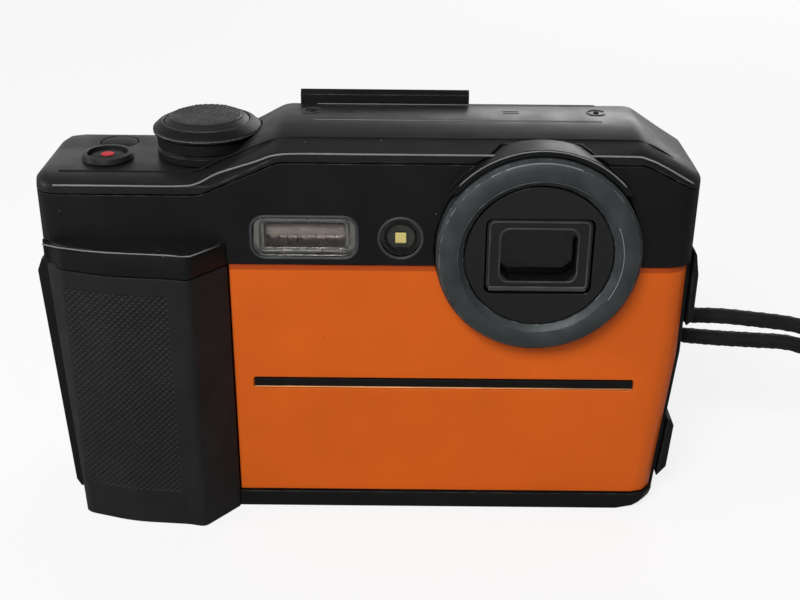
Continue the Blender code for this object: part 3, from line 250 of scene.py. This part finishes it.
class Shader:
    """A Principled material with short calls for the nodes that its surface detail needs."""

    def __init__(self, name, colour, roughness, metallic=0.0, **constants):
        self.material = bpy.data.materials.new(name)
        self.material.use_nodes = True
        self.tree = self.material.node_tree
        self.shader = self.tree.nodes["Principled BSDF"]
        self.shader.inputs["Metallic"].default_value = metallic
        for key, value in constants.items():
            self.shader.inputs[key.replace("_", " ")].default_value = value
        self.place = self.node("ShaderNodeTexCoord").outputs["Object"]
        self.colour = (*colour, 1.0)
        self.roughness = roughness
        self.normal = None

    def node(self, kind, **settings):
        node = self.tree.nodes.new(kind)
        for key, value in settings.items():
            setattr(node, key, value)
        return node

    def feed(self, socket, value):
        if isinstance(value, bpy.types.NodeSocket):
            self.tree.links.new(value, socket)
        else:
            socket.default_value = value

    def math(self, operation, a, b=0.0, clamp=False):
        node = self.node("ShaderNodeMath", operation=operation, use_clamp=clamp)
        self.feed(node.inputs[0], a)
        self.feed(node.inputs[1], b)
        return node.outputs[0]

    def span(self, value, low, high, to_low=0.0, to_high=1.0):
        node = self.node("ShaderNodeMapRange")
        names = ("Value", "From Min", "From Max", "To Min", "To Max")
        for name, number in zip(names, (value, low, high, to_low, to_high)):
            self.feed(node.inputs[name], number)
        return node.outputs["Result"]

    def mix(self, factor, a, b):
        node = self.node("ShaderNodeMix", data_type="RGBA")
        self.feed(node.inputs["Factor"], factor)
        self.feed(node.inputs["A"], a)
        self.feed(node.inputs["B"], b)
        return node.outputs["Result"]

    def noise(self, size, detail=3.0):
        """Noise from 0 to 1 with features about size millimetres across."""
        node = self.node("ShaderNodeTexNoise")
        self.feed(node.inputs["Vector"], self.place)
        node.inputs["Scale"].default_value = 1.0 / (size * MM)
        node.inputs["Detail"].default_value = detail
        return node.outputs["Fac"]

    def specks(self, size, radius):
        """1 on small scattered dots, one to each cell about size millimetres across."""
        node = self.node("ShaderNodeTexVoronoi")
        self.feed(node.inputs["Vector"], self.place)
        node.inputs["Scale"].default_value = 1.0 / (size * MM)
        dots = self.math("LESS_THAN", node.outputs["Distance"], radius)
        chosen = self.math("GREATER_THAN", self.noise(size * 3.1, 2.0), 0.56)
        return self.math("MULTIPLY", dots, chosen)

    def rounded(self, radius):
        """The surface's normal with its sharp edges rounded to a radius in millimetres."""
        node = self.node("ShaderNodeBevel", samples=4)
        node.inputs["Radius"].default_value = radius * MM
        self.normal = node.outputs["Normal"]

    def edges(self, radius):
        """1 on edges within about radius millimetres, 0 on flat faces."""
        bevel = self.node("ShaderNodeBevel", samples=4)
        bevel.inputs["Radius"].default_value = radius * MM
        geometry = self.node("ShaderNodeNewGeometry")
        product = self.node("ShaderNodeVectorMath", operation="DOT_PRODUCT")
        self.feed(product.inputs[0], bevel.outputs["Normal"])
        self.feed(product.inputs[1], geometry.outputs["Normal"])
        return self.span(product.outputs["Value"], 0.995, 0.9)

    def vary(self, size, amount):
        """Lighter and darker patches."""
        share = self.span(self.noise(size), 0.3, 0.7, 1.0 - amount, 1.0 + amount)
        node = self.node("ShaderNodeVectorMath", operation="SCALE")
        self.feed(node.inputs[0], self.colour[:3])
        self.feed(node.inputs["Scale"], share)
        self.colour = node.outputs[0]

    def layer(self, mask, colour, roughness):
        """Paints a colour and a roughness over the surface where the mask is 1."""
        self.colour = self.mix(mask, self.colour, (*colour, 1.0))
        node = self.node("ShaderNodeMix", data_type="FLOAT")
        self.feed(node.inputs["Factor"], mask)
        self.feed(node.inputs["A"], self.roughness)
        self.feed(node.inputs["B"], roughness)
        self.roughness = node.outputs["Result"]

    def smudge(self, size, amount):
        """Handling marks: patches that are a little rougher or glossier."""
        patches = self.span(self.noise(size, 4.0), 0.35, 0.65, -amount, amount)
        self.roughness = self.math("ADD", self.roughness, patches, clamp=True)

    def bump(self, height, strength, distance):
        node = self.node("ShaderNodeBump")
        self.feed(node.inputs["Height"], height)
        node.inputs["Strength"].default_value = strength
        node.inputs["Distance"].default_value = distance * MM
        if self.normal is not None:
            self.feed(node.inputs["Normal"], self.normal)
        self.normal = node.outputs["Normal"]

    def done(self):
        self.feed(self.shader.inputs["Base Color"], self.colour)
        self.feed(self.shader.inputs["Roughness"], self.roughness)
        if self.normal is not None:
            self.feed(self.shader.inputs["Normal"], self.normal)
        return self.material


def moulded(name, colour, roughness, grain=0.35, wear=0.25, dust=0.35):
    """Moulded plastic with a fine spark-eroded grain, rubbed edges and a little dust."""
    made = Shader(name, colour, roughness, Specular_IOR_Level=0.18)
    made.rounded(0.25)
    made.vary(9.0, 0.18)
    made.smudge(7.0, 0.07)
    edge = made.edges(0.18)
    rubbed = made.math("MULTIPLY", edge, made.span(made.noise(2.2, 5.0), 0.42, 0.62))
    made.layer(made.math("MULTIPLY", rubbed, wear), (0.30, 0.31, 0.32), 0.42)
    made.layer(made.math("MULTIPLY", made.specks(2.3, 0.045), dust), (0.5, 0.5, 0.5), 0.8)
    made.bump(made.noise(0.22, 2.0), grain, 0.03)
    return made.done()


def black_plastic():
    return moulded("black_plastic", (0.0062, 0.0066, 0.0066), 0.47)


def cover_paint():
    return moulded("cover_paint", (0.0125, 0.013, 0.013), 0.38, grain=0.3, wear=0.5, dust=0.4)


def rubber():
    made = Shader("rubber", (0.010, 0.0105, 0.0105), 0.55, Specular_IOR_Level=0.25)
    made.rounded(0.2)
    made.vary(5.0, 0.25)
    made.smudge(6.0, 0.08)
    made.layer(made.math("MULTIPLY", made.specks(1.9, 0.05), 0.4), (0.4, 0.4, 0.4), 0.8)
    made.bump(made.noise(0.18, 2.0), 0.5, 0.03)
    return made.done()


def grip_rubber():
    """Rubber with a panel of fine raised diamonds on its front, and a smooth border round it."""
    made = Shader("grip_rubber", (0.0105, 0.0112, 0.0110), 0.5, Specular_IOR_Level=0.25)
    made.rounded(0.3)
    made.vary(7.0, 0.2)
    made.smudge(6.0, 0.08)
    made.layer(made.math("MULTIPLY", made.specks(1.9, 0.05), 0.4), (0.4, 0.4, 0.4), 0.8)
    split = made.node("ShaderNodeSeparateXYZ")
    made.feed(split.inputs[0], made.place)
    x, z = split.outputs["X"], split.outputs["Z"]
    panel = made.math("MULTIPLY", inside(made, x, *GRIP_PANEL_X), inside(made, z, *GRIP_PANEL_Z))
    waves = []
    for sign in (1.0, -1.0):
        slant = made.math("ADD", x, made.math("MULTIPLY", z, sign))
        phase = made.math("MULTIPLY", slant, math.pi / (GRIP_PITCH * MM))
        waves.append(made.math("ABSOLUTE", made.math("SINE", phase)))
    diamonds = made.math("MULTIPLY", waves[0], waves[1])
    height = made.math("SUBTRACT", made.math("MULTIPLY", diamonds, panel), made.math("MULTIPLY", panel, 0.9))
    made.bump(height, 0.7, 0.25)
    made.bump(made.noise(0.18, 2.0), 0.3, 0.02)
    return made.done()


def inside(made, value, low, high):
    """1 where a coordinate lies between two sizes in millimetres, with a soft border."""
    rise = made.span(value, (low - 0.25) * MM, low * MM)
    return made.math("MULTIPLY", rise, made.span(value, high * MM, (high + 0.25) * MM, 1.0, 0.0))


def orange_paint():
    """Satin metallic orange lacquer on brushed sheet metal, with a painted shadow band under its top edge.
    """
    made = Shader("orange_paint", (0.80, 0.135, 0.008), 0.40, 0.2, Specular_IOR_Level=0.35)
    made.rounded(0.25)
    made.vary(18.0, 0.05)
    made.smudge(9.0, 0.05)
    split = made.node("ShaderNodeSeparateXYZ")
    made.feed(split.inputs[0], made.place)
    # Painted shadow: a darker red band just under the plate's top edge, where the proud upper case shades
    # it.
    painted_shadow_band = made.span(split.outputs["Z"], (SHOULDER_Z - 1.5) * MM, (SHOULDER_Z - 1.2) * MM)
    made.layer(made.math("MULTIPLY", painted_shadow_band, 0.75), (0.42, 0.050, 0.006), 0.45)
    edge = made.edges(0.2)
    rubbed = made.math("MULTIPLY", edge, made.span(made.noise(1.6, 5.0), 0.55, 0.68))
    made.layer(made.math("MULTIPLY", rubbed, 0.7), (0.75, 0.42, 0.22), 0.3)
    made.layer(made.math("MULTIPLY", made.specks(5.5, 0.03), 0.6), (0.35, 0.09, 0.02), 0.7)
    made.bump(made.noise(0.25, 2.0), 0.12, 0.02)
    return made.done()


def ring_metal():
    """Blue-grey anodised aluminium with a blasted grain, chipped to bare metal along its edges."""
    made = Shader("ring_metal", (0.040, 0.047, 0.049), 0.52, 0.25, Specular_IOR_Level=0.4)
    made.rounded(0.2)
    made.vary(4.0, 0.25)
    made.smudge(5.0, 0.08)
    edge = made.edges(0.35)
    chips = made.math("MULTIPLY", edge, made.span(made.noise(1.3, 6.0), 0.50, 0.58))
    made.layer(made.math("MULTIPLY", chips, 0.85), (0.42, 0.45, 0.47), 0.35)
    made.bump(made.noise(0.2, 2.0), 0.35, 0.03)
    return made.done()


def gloss_black(name, roughness):
    made = Shader(name, (0.005, 0.005, 0.006), roughness)
    made.rounded(0.15)
    made.smudge(6.0, 0.04)
    made.layer(made.math("MULTIPLY", made.specks(2.9, 0.03), 0.5), (0.3, 0.3, 0.3), 0.8)
    made.bump(made.noise(3.0, 2.0), 0.03, 0.02)
    return made.done()


def glass(name, tint):
    made = Shader(name, tint, 0.04, Transmission_Weight=1.0, IOR=1.5)
    made.smudge(4.0, 0.02)
    made.bump(made.noise(4.0, 2.0), 0.02, 0.01)
    return made.done()


def metal(name, colour, roughness):
    made = Shader(name, colour, roughness, 1.0)
    made.rounded(0.15)
    made.vary(3.0, 0.12)
    made.smudge(2.5, 0.08)
    made.bump(made.noise(0.3, 3.0), 0.25, 0.02)
    return made.done()


def nylon():
    constants = {"Sheen_Weight": 0.06, "Sheen_Roughness": 0.5, "Specular_IOR_Level": 0.2}
    made = Shader("nylon", (0.007, 0.007, 0.0075), 0.75, **constants)
    made.vary(2.0, 0.3)
    made.bump(made.noise(0.12, 3.0), 0.8, 0.06)
    return made.done()


def moulded_part(name, colour, roughness):
    return moulded(name, colour, roughness, grain=0.25, wear=0.15, dust=0.1)


# Shapes


def object_of(name, bm, material, body="body"):
    mesh = bpy.data.meshes.new(name)
    bmesh.ops.recalc_face_normals(bm, faces=bm.faces)
    bm.to_mesh(mesh)
    bm.free()
    obj = bpy.data.objects.new(name, mesh)
    bpy.context.scene.collection.objects.link(obj)
    mesh.materials.append(material)
    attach(obj, body)
    return obj


def bevelled(obj, width, segments=2, angle=30.0):
    modifier = obj.modifiers.new("bevel", "BEVEL")
    modifier.width = width * MM
    modifier.segments = segments
    modifier.limit_method = "ANGLE"
    modifier.angle_limit = math.radians(angle)
    modifier.harden_normals = False
    return obj


def spline_points(points, spacing):
    """Points about spacing apart along a smooth curve through the given ones."""
    points = [Vector(p) for p in points]
    ends = [2 * points[0] - points[1], *points, 2 * points[-1] - points[-2]]
    fine = []
    for a, b, c, d in zip(ends, ends[1:], ends[2:], ends[3:]):
        for step in range(16):
            t = step / 16
            fine.append(
                0.5
                * (
                    2 * b
                    + (c - a) * t
                    + (2 * a - 5 * b + 4 * c - d) * t * t
                    + (3 * b - a - 3 * c + d) * t**3
                )
            )
    fine.append(points[-1])
    result = [fine[0]]
    left = spacing
    for a, b in zip(fine, fine[1:]):
        length = (b - a).length
        along = 0.0
        while length - along >= left:
            along += left
            result.append(a.lerp(b, along / length))
            left = spacing
        left -= length - along
    result.append(fine[-1])
    return result


def carried(points, across, closed=False):
    """Each point of a line with two directions square to it, carried along without twisting."""
    last = len(points) - 1
    for index, place in enumerate(points):
        before = points[index - 1] if closed or index > 0 else place
        after = points[(index + 1) % (last + 1)] if closed or index < last else place
        ahead = (after - before).normalized()
        across = (across - ahead * across.dot(ahead)).normalized()
        yield place, across, ahead.cross(across)


def tube(name, rings, material, body="body", closed=False):
    """A smooth tube through rings of points in millimetres, capped unless it closes on itself."""
    bm = bmesh.new()
    loops = [[bm.verts.new(point * MM) for point in ring] for ring in rings]
    pairs = list(zip(loops, loops[1:])) + ([(loops[-1], loops[0])] if closed else [])
    for first, second in pairs:
        for side in range(len(first)):
            after = (side + 1) % len(first)
            bm.faces.new((first[side], first[after], second[after], second[side]))
    if not closed:
        bm.faces.new(loops[0])
        bm.faces.new(loops[-1])
    obj = object_of(name, bm, material, body)
    for polygon in obj.data.polygons:
        polygon.use_smooth = True
    return obj


def braided(name, points, material):
    """A round braided cord whose surface shows the crossing strands, and its path in metres."""
    route = spline_points(points, 0.3)
    rings = []
    along = 0.0
    previous = route[0]
    for index, (place, across, other) in enumerate(carried(route, Vector((0, 0, 1)))):
        along += (place - previous).length
        previous = place
        closing = min(index, len(route) - 1 - index)
        cap = math.sqrt(min(1.0, (closing + 1.0) / 4.0))
        turn = 2 * math.pi * along / BRAID_PITCH
        ring = []
        for side in range(CORD_SIDES):
            angle = 2 * math.pi * side / CORD_SIDES
            strand = BRAID_STRANDS * angle / 2
            weave = abs(math.sin(strand + turn) * math.sin(strand - turn))
            radius = CORD_DIAMETER / 2 * (0.90 + 0.13 * math.sqrt(weave)) * cap
            ring.append(place + (across * math.cos(angle) + other * math.sin(angle)) * radius)
        rings.append(ring)
    return tube(name, rings, material), [tuple(p * MM) for p in route[::4]]


def coil_route():
    """The wrist loop: out of the joiner, round the inner and the outer turns, and back into the joiner."""

    def at(degrees, radius, z):
        angle = math.radians(degrees)
        return (
            COIL_CENTRE[0] + radius * math.cos(angle),
            COIL_CENTRE[1] + radius * math.sin(angle),
            z,
        )

    points = [(JOINER_END - 0.4, 0.9, 4.6), (118.2, 0.2, 4.8), (120.4, -1.6, 4.8)]
    # Each leg: its start and end in degrees, then its radius and its height at both ends
    legs = [
        (212, 455, COIL_INNER, COIL_INNER, COIL_HIGH, COIL_HIGH),
        (455, 500, COIL_INNER, COIL_INNER, COIL_HIGH, COIL_LOW),
        (500, 770, COIL_INNER, COIL_INNER, COIL_LOW, COIL_LOW),
        (770, 815, COIL_INNER, COIL_OUTER, COIL_LOW, COIL_LOW),
        (815, 1085, COIL_OUTER, COIL_OUTER, COIL_LOW, COIL_LOW),
        (1085, 1130, COIL_OUTER, COIL_OUTER, COIL_LOW, COIL_HIGH),
        (1130, 1214, COIL_OUTER, COIL_OUTER, COIL_HIGH, COIL_HIGH),
    ]
    for start, end, radius, radius_end, z, z_end in legs:
        steps = max(2, round((end - start) / 15))
        for step in range(steps):
            t = step / steps
            ease = t * t * (3 - 2 * t)
            points.append(
                at(start + (end - start) * t, radius + (radius_end - radius) * ease, z + (z_end - z) * ease)
            )
    points += [(121.8, 10.6, 4.8), (120.6, 7.2, 4.8), (118.6, 4.8, 4.7), (JOINER_END - 0.4, 3.9, 4.6)]
    return points


def bead(name, points, radius, material, body="body", closed=False):
    """A thin round line along points, half sunk where it follows a surface."""
    rings = []
    places = [Vector(point) for point in points]
    for place, across, other in carried(places, Vector((0.13, 0.27, 0.95)), closed):
        ring = []
        for side in range(BEAD_SIDES):
            angle = 2 * math.pi * side / BEAD_SIDES
            ring.append(place + (across * math.cos(angle) + other * math.sin(angle)) * radius)
        rings.append(ring)
    return tube(name, rings, material, body, closed)


def slab(name, low, high, material, body="body", bevel=0.05):
    """A small block with rounded edges."""
    bm = bmesh.new()
    bmesh.ops.create_cube(bm, size=1.0)
    for vert in bm.verts:
        vert.co = [(a + (b - a) * (c + 0.5)) * MM for a, b, c in zip(low, high, vert.co)]
    obj = object_of(name, bm, material, body)
    return bevelled(obj, bevel)


def arc(centre, radius, start, end, axes, offset, steps=24):
    """Points on a circle from start to end degrees, in plane XY or XZ, at an offset along the third axis."""
    points = []
    for step in range(steps + 1):
        angle = math.radians(start + (end - start) * step / steps)
        u = centre[0] + radius * math.cos(angle)
        v = centre[1] + radius * math.sin(angle)
        points.append((u, v, offset) if axes == "XY" else (u, offset, v))
    return points


def circle(centre, radius, axes, offset, steps=71):
    """The points of a whole circle, for a closed line."""
    return arc(centre, radius, 0, 355, axes, offset, steps)


def rounded_outline(u, v, width, height, radius):
    """A rounded rectangle's points about a centre."""
    points = []
    for corner, (sx, sy) in enumerate(((1, 1), (-1, 1), (-1, -1), (1, -1))):
        for step in range(7):
            angle = math.radians(90 * corner + 15 * step)
            points.append((
                u + sx * (width / 2 - radius) + radius * math.cos(angle),
                v + sy * (height / 2 - radius) + radius * math.sin(angle),
            ))
    return points


def top_line(rise, y):
    """The body's top edge from the deck over the hump and down the right shoulder, at one depth."""
    deck = DECK_Z - 1.0 + min(rise, 1.0)
    hump = HUMP_Z - 2.65 + rise
    line = [
        (LEFT + 4.0, deck), (LEFT + 14, deck), (LEFT + 24.5, deck), (LEFT + 28.2, deck + 0.45),
        (LEFT + 32.0, deck + 2.4), (LEFT + 38.2, hump - 1.5), (LEFT + 41.4, hump - 0.35),
        (LEFT + 45.5, hump), (0.0, hump), (20.0, hump), (RIGHT - 13.6, hump),
        (RIGHT - 10.4, hump - 0.4), (RIGHT - 7.4, hump - 1.7), (RIGHT - 2.2, deck + 1.3),
    ]
    return spline_points([(x, y, z) for x, z in line], 0.8)


# Detail pieces


def knurled_disc(material):
    """The shutter button's top: a disc of fine diamonds that rise above a narrow rim."""
    bm = bmesh.new()
    rings = []
    for ring in range(1, KNURL_RINGS + 1):
        radius = KNURL_RADIUS * ring / KNURL_RINGS
        row = []
        for side in range(KNURL_SIDES):
            angle = 2 * math.pi * side / KNURL_SIDES
            x, y = radius * math.cos(angle), radius * math.sin(angle)
            waves = [abs(math.sin(math.pi * (x + sign * y) / KNURL_PITCH)) for sign in (1, -1)]
            height = KNURL_HEIGHT * (waves[0] * waves[1]) if ring < KNURL_RINGS - 1 else -0.12
            place = ((SHUTTER[0] + x) * MM, (SHUTTER[1] + y) * MM, (KNURL_TOP + height) * MM)
            row.append(bm.verts.new(place))
        rings.append(row)
    centre = bm.verts.new((SHUTTER[0] * MM, SHUTTER[1] * MM, KNURL_TOP * MM))
    for side in range(KNURL_SIDES):
        bm.faces.new((centre, rings[0][side], rings[0][(side + 1) % KNURL_SIDES]))
    for first, second in zip(rings, rings[1:]):
        for side in range(KNURL_SIDES):
            after = (side + 1) % KNURL_SIDES
            bm.faces.new((first[side], second[side], second[after], first[after]))
    object_of("shutter_knurl", bm, material, "shutter")


def mark(name, x_ends, y, half, material):
    """A dark bar sunk into the hump's top, which stands just proud of it: painted shade for the inside of a
    groove or slot.
    """
    low = (x_ends[0], y - half, HUMP_Z - MARK_SINK)
    slab(name, low, (x_ends[1], y + half, HUMP_Z + MARK_RISE), material)


def top_details(worn_and_highlight, dark, grey):
    # A light grey line along the front top edge: a painted highlight of its bevel, with some wear.
    bead("front_edge_highlight_and_wear", top_line(0.0, FRONT + 0.12), 0.16, worn_and_highlight)
    bead("cover_seam", top_line(1.42, FRONT + 4.6), 0.17, dark)
    bead("shroud_edge", arc(LENS, SHROUD_EDGE_RADIUS, 42, 138, "XZ", FRAME_FACE, 40), 0.16, worn_and_highlight)
    for index, depth in enumerate(GROOVE_DEPTHS):
        y = FRONT + depth
        mark(f"hump_groove_{index}", GROOVE_ENDS, y, 0.3, dark)
        lip = [(x, y - 0.34, HUMP_Z) for x in GROOVE_ENDS]
        bead(f"hump_groove_lip_{index}", lip, 0.09, worn_and_highlight)
    for index, x in enumerate(MICROPHONES_X):
        centre = (x, FRONT + MICROPHONE_DEPTH)
        hole = arc(centre, 0.3, 0, 345, "XY", HUMP_Z, 8)
        bead(f"microphone_ring_{index}", arc(centre, MICROPHONE_RADIUS, 30, 330, "XY", HUMP_Z), 0.16, grey)
        # A dark dot in each microphone hole: painted shade of its inside.
        bead(f"microphone_hole_{index}", hole, 0.22, dark, closed=True)
    for side, x in enumerate(SPEAKERS_X):
        for row, depth in enumerate(SPEAKER_DEPTHS):
            ends = (x - SPEAKER_HALF, x + SPEAKER_HALF)
            mark(f"speaker_slot_{side}{row}", ends, FRONT + depth, 0.25, dark)
    # A light grey ring on the collar's outer edge: a painted highlight.
    collar_highlight_rim = circle(SHUTTER, COLLAR_EDGE_RADIUS, "XY", COLLAR_LOW + 4.55)
    bead("collar_edge_highlight", collar_highlight_rim, 0.1, worn_and_highlight, closed=True)
    rim = circle(SHUTTER, COLLAR_RIM_RADIUS, "XY", COLLAR_LOW + 5.86)
    bead("collar_rim", rim, 0.12, grey, closed=True)


def record_dot():
    red = moulded("record_red", (0.50, 0.008, 0.02), 0.4, grain=0.2, wear=0.0, dust=0.1)
    radius = DOT_RADIUS * MM
    bm = bmesh.new()
    bmesh.ops.create_cone(
        bm, cap_ends=True, segments=32, radius1=radius, radius2=radius, depth=DOT_HEIGHT * MM
    )
    middle = Vector((*RECORD, RECORD_TOP + DOT_HEIGHT / 2))
    bmesh.ops.translate(bm, verts=bm.verts, vec=middle * MM)
    object_of("record_dot", bm, red, "record")


def front_details(worn_and_highlight, dark, grey):
    for name, width, height, radius, y, thick, look in (
        ("flash_bezel", 18.3, 7.7, 2.4, FRONT + 0.05, 0.3, grey),
        ("flash_inner_bezel", 15.4, 5.6, 1.2, FRONT + 0.45, 0.14, worn_and_highlight),
    ):
        line = rounded_outline(*FLASH, width, height, radius)
        bead(name, [(u, y, v) for u, v in line], thick, look, closed=True)
    for index in range(FLASH_RIBS):
        x = FLASH[0] + (index - (FLASH_RIBS - 1) / 2) * FLASH_RIB_PITCH
        low = (x - 0.12, FRONT + 5.2, FLASH[1] - 2.2)
        slab(f"flash_rib_{index}", low, (x + 0.12, FRONT + 6.1, FLASH[1] + 2.2), worn_and_highlight)
    lamp = (LAMP_X, FLASH[1])
    bead("lamp_bezel", circle(lamp, LAMP_BEZEL_RADIUS, "XZ", FRONT + 0.05), 0.28, grey, closed=True)
    bead("lamp_inner_ring", circle(lamp, LAMP_RING_RADIUS, "XZ", FRONT + 0.45), 0.22, dark, closed=True)
    chip = moulded("led_chip", (0.72, 0.60, 0.22), 0.35, grain=0.2, wear=0.0, dust=0.0)
    low = (LAMP_X - CHIP_HALF, FRONT + 0.15, FLASH[1] - CHIP_HALF)
    high = (LAMP_X + CHIP_HALF, FRONT + 0.46, FLASH[1] + CHIP_HALF)
    slab("led_chip", low, high, chip, bevel=0.1)
    # A black strip in the plate's slot: painted shade of its inside.
    low = (SLOT_ENDS[0], PLATE_FACE + 0.05, SLOT_Z - 0.75)
    slab("plate_slot_shade", low, (SLOT_ENDS[1], PLATE_FACE + 0.7, SLOT_Z + 0.75), dark)
    # A bright orange bead on the slot's lower lip: a painted highlight.
    lip = moulded("slot_lip_highlight", (0.95, 0.42, 0.16), 0.3, grain=0.2, wear=0.0, dust=0.0)
    bead("slot_lip_highlight", [(x, PLATE_FACE + 0.05, SLOT_Z - 0.85) for x in SLOT_ENDS], 0.13, lip)
    # A light grey line along the grip band's top edge: a painted highlight.
    band = [(x, FRONT - reach, BAND_TOP - 0.15) for x, reach in BAND_EDGE]
    bead("grip_band_edge_highlight", band, 0.13, worn_and_highlight)


def lens_details(worn_and_highlight, grey):
    face = FRONT - RING_REACH
    bead("ring_bore_edge", circle(LENS, 13.95, "XZ", face + 0.04, 90), 0.11, grey, closed=True)
    bead("ring_worn_top", arc(LENS, 17.05, 68, 112, "XZ", face + 0.32, 40), 0.14, worn_and_highlight)
    # A light grey arc inside the bore's right edge: a painted highlight on the lit inner wall.
    bead("ring_bore_highlight_right", arc(LENS, 14.3, -32, 24, "XZ", face, 40), 0.10, worn_and_highlight)
    for name, width, height, radius in (
        ("frame_step", 16.9, 12.3, 0.9),
        ("frame_opening", 13.4, 9.9, 1.6),
    ):
        line = rounded_outline(*LENS, width, height, radius)
        bead(name, [(u, FRAME_FACE, v) for u, v in line], 0.2, grey, closed=True)
    low = (LENS[0] - 8.4, FRAME_FACE - 0.35, LENS[1] - 6.6)
    slab("frame_sill", low, (LENS[0] + 8.4, FRAME_FACE + 0.1, LENS[1] - 5.7), grey, bevel=0.2)


def details():
    # Light grey edge lines: rubbed edges on some pieces, painted highlights on others.
    worn_and_highlight = moulded("worn_and_highlight_grey", (0.20, 0.205, 0.21), 0.4, grain=0.4, wear=0.3, dust=0.0)
    # Near black for the cover seam, and painted shade in grooves, slots and holes.
    dark = moulded("seam_and_shade_black", (0.004, 0.004, 0.004), 0.6, grain=0.2, wear=0.0, dust=0.1)
    grey = moulded("trim_grey", (0.045, 0.048, 0.05), 0.35, grain=0.25, wear=0.4, dust=0.2)
    knurl = moulded("knurl_grey", (0.034, 0.034, 0.035), 0.4, grain=0.2, wear=0.2, dust=0.1)
    knurled_disc(knurl)
    top_details(worn_and_highlight, dark, grey)
    record_dot()
    front_details(worn_and_highlight, dark, grey)
    lens_details(worn_and_highlight, grey)


# Cords


def cords():
    cloth = nylon()
    upper, upper_path = braided("strap_upper_cord", STRAP_UPPER, cloth)
    lower, lower_path = braided("strap_lower_cord", STRAP_LOWER, cloth)
    loop, loop_path = braided("wrist_loop", coil_route(), cloth)
    for obj, node, path, end in (
        (upper, "strap_upper", upper_path, "fitting"),
        (lower, "strap_lower", lower_path, "fitting"),
        (loop, "wrist_cord", loop_path, "object"),
    ):
        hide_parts(node)


# CAD nodes


def soften_group():
    """Merges a CAD node's split corners and shades it smooth across gentle edges."""
    group = bpy.data.node_groups.new("soften", "GeometryNodeTree")
    group.interface.new_socket("Geometry", in_out="INPUT", socket_type="NodeSocketGeometry")
    group.interface.new_socket("Geometry", in_out="OUTPUT", socket_type="NodeSocketGeometry")
    nodes, links = group.nodes, group.links
    start = nodes.new("NodeGroupInput")
    end = nodes.new("NodeGroupOutput")
    forget = nodes.new("GeometryNodeRemoveAttribute")
    forget.inputs["Name"].default_value = "custom_normal"
    merge = nodes.new("GeometryNodeMergeByDistance")
    merge.inputs["Distance"].default_value = 0.000004
    angle = nodes.new("GeometryNodeInputMeshEdgeAngle")
    sharp = nodes.new("FunctionNodeCompare")
    sharp.operation = "GREATER_THAN"
    sharp.inputs["B"].default_value = math.radians(31)
    crease = nodes.new("GeometryNodeSetShadeSmooth")
    crease.domain = "EDGE"
    crease.inputs["Shade Smooth"].default_value = False
    faces = nodes.new("GeometryNodeSetShadeSmooth")
    links.new(start.outputs[0], forget.inputs["Geometry"])
    links.new(forget.outputs["Geometry"], merge.inputs["Geometry"])
    links.new(merge.outputs["Geometry"], faces.inputs["Geometry"])
    links.new(angle.outputs["Unsigned Angle"], sharp.inputs["A"])
    links.new(faces.outputs["Geometry"], crease.inputs["Geometry"])
    links.new(sharp.outputs["Result"], crease.inputs["Selection"])
    links.new(crease.outputs["Geometry"], end.inputs[0])
    return group


def dress(materials):
    """Gives each CAD node its material and smooth shading."""
    group = soften_group()
    for name, obj in NODES.items():
        obj.data.materials.clear()
        obj.data.materials.append(materials.get(name, materials["other"]))
        modifier = obj.modifiers.new("soften", "NODES")
        modifier.node_group = group
    bevelled(NODES["finder_housing"], 1.3, 3, 40.0)
    bevelled(NODES["screen_window"], 0.3, 2, 40.0)


def node_materials():
    black = black_plastic()
    cover = cover_paint()
    soft = rubber()
    steel = metal("steel", (0.45, 0.45, 0.46), 0.32)
    clear = glass("window_glass", (0.75, 0.82, 0.8))
    smoked = glass("lens_glass", (0.10, 0.14, 0.125))
    pearl = metal("flash_foil", (0.62, 0.50, 0.48), 0.28)
    table = {
        "other": black,
        "front_case": black,
        "rear_case": black,
        "top_cover": cover,
        "grip": grip_rubber(),
        "grip_band": black,
        "front_plate": orange_paint(),
        "lens_ring": ring_metal(),
        "lens_plate": gloss_black("lens_black", 0.2),
        "window_frame": gloss_black("frame_black", 0.3),
        "lens_window": smoked,
        "flash_reflector": pearl,
        "flash_tube": moulded_part("flash_tube", (0.75, 0.55, 0.52), 0.25),
        "lamp_led": moulded_part("lamp_board", (0.10, 0.10, 0.075), 0.35),
        "record_ring": moulded_part("button_black", (0.014, 0.014, 0.015), 0.4),
        "flash_window": clear,
        "lamp_window": clear,
        "screen_window": gloss_black("screen_glass", 0.06),
        "eyepiece": clear,
        "eyecup": soft,
        "shutter_button": moulded_part("shutter_black", (0.018, 0.018, 0.02), 0.45),
        "strap_joiner": soft,
        "hinge_pin": steel,
        "tripod_socket": steel,
    }
    return table


def main():
    camera()
    cords()
    studio()
    floor()
    dress(node_materials())
    details()


main()
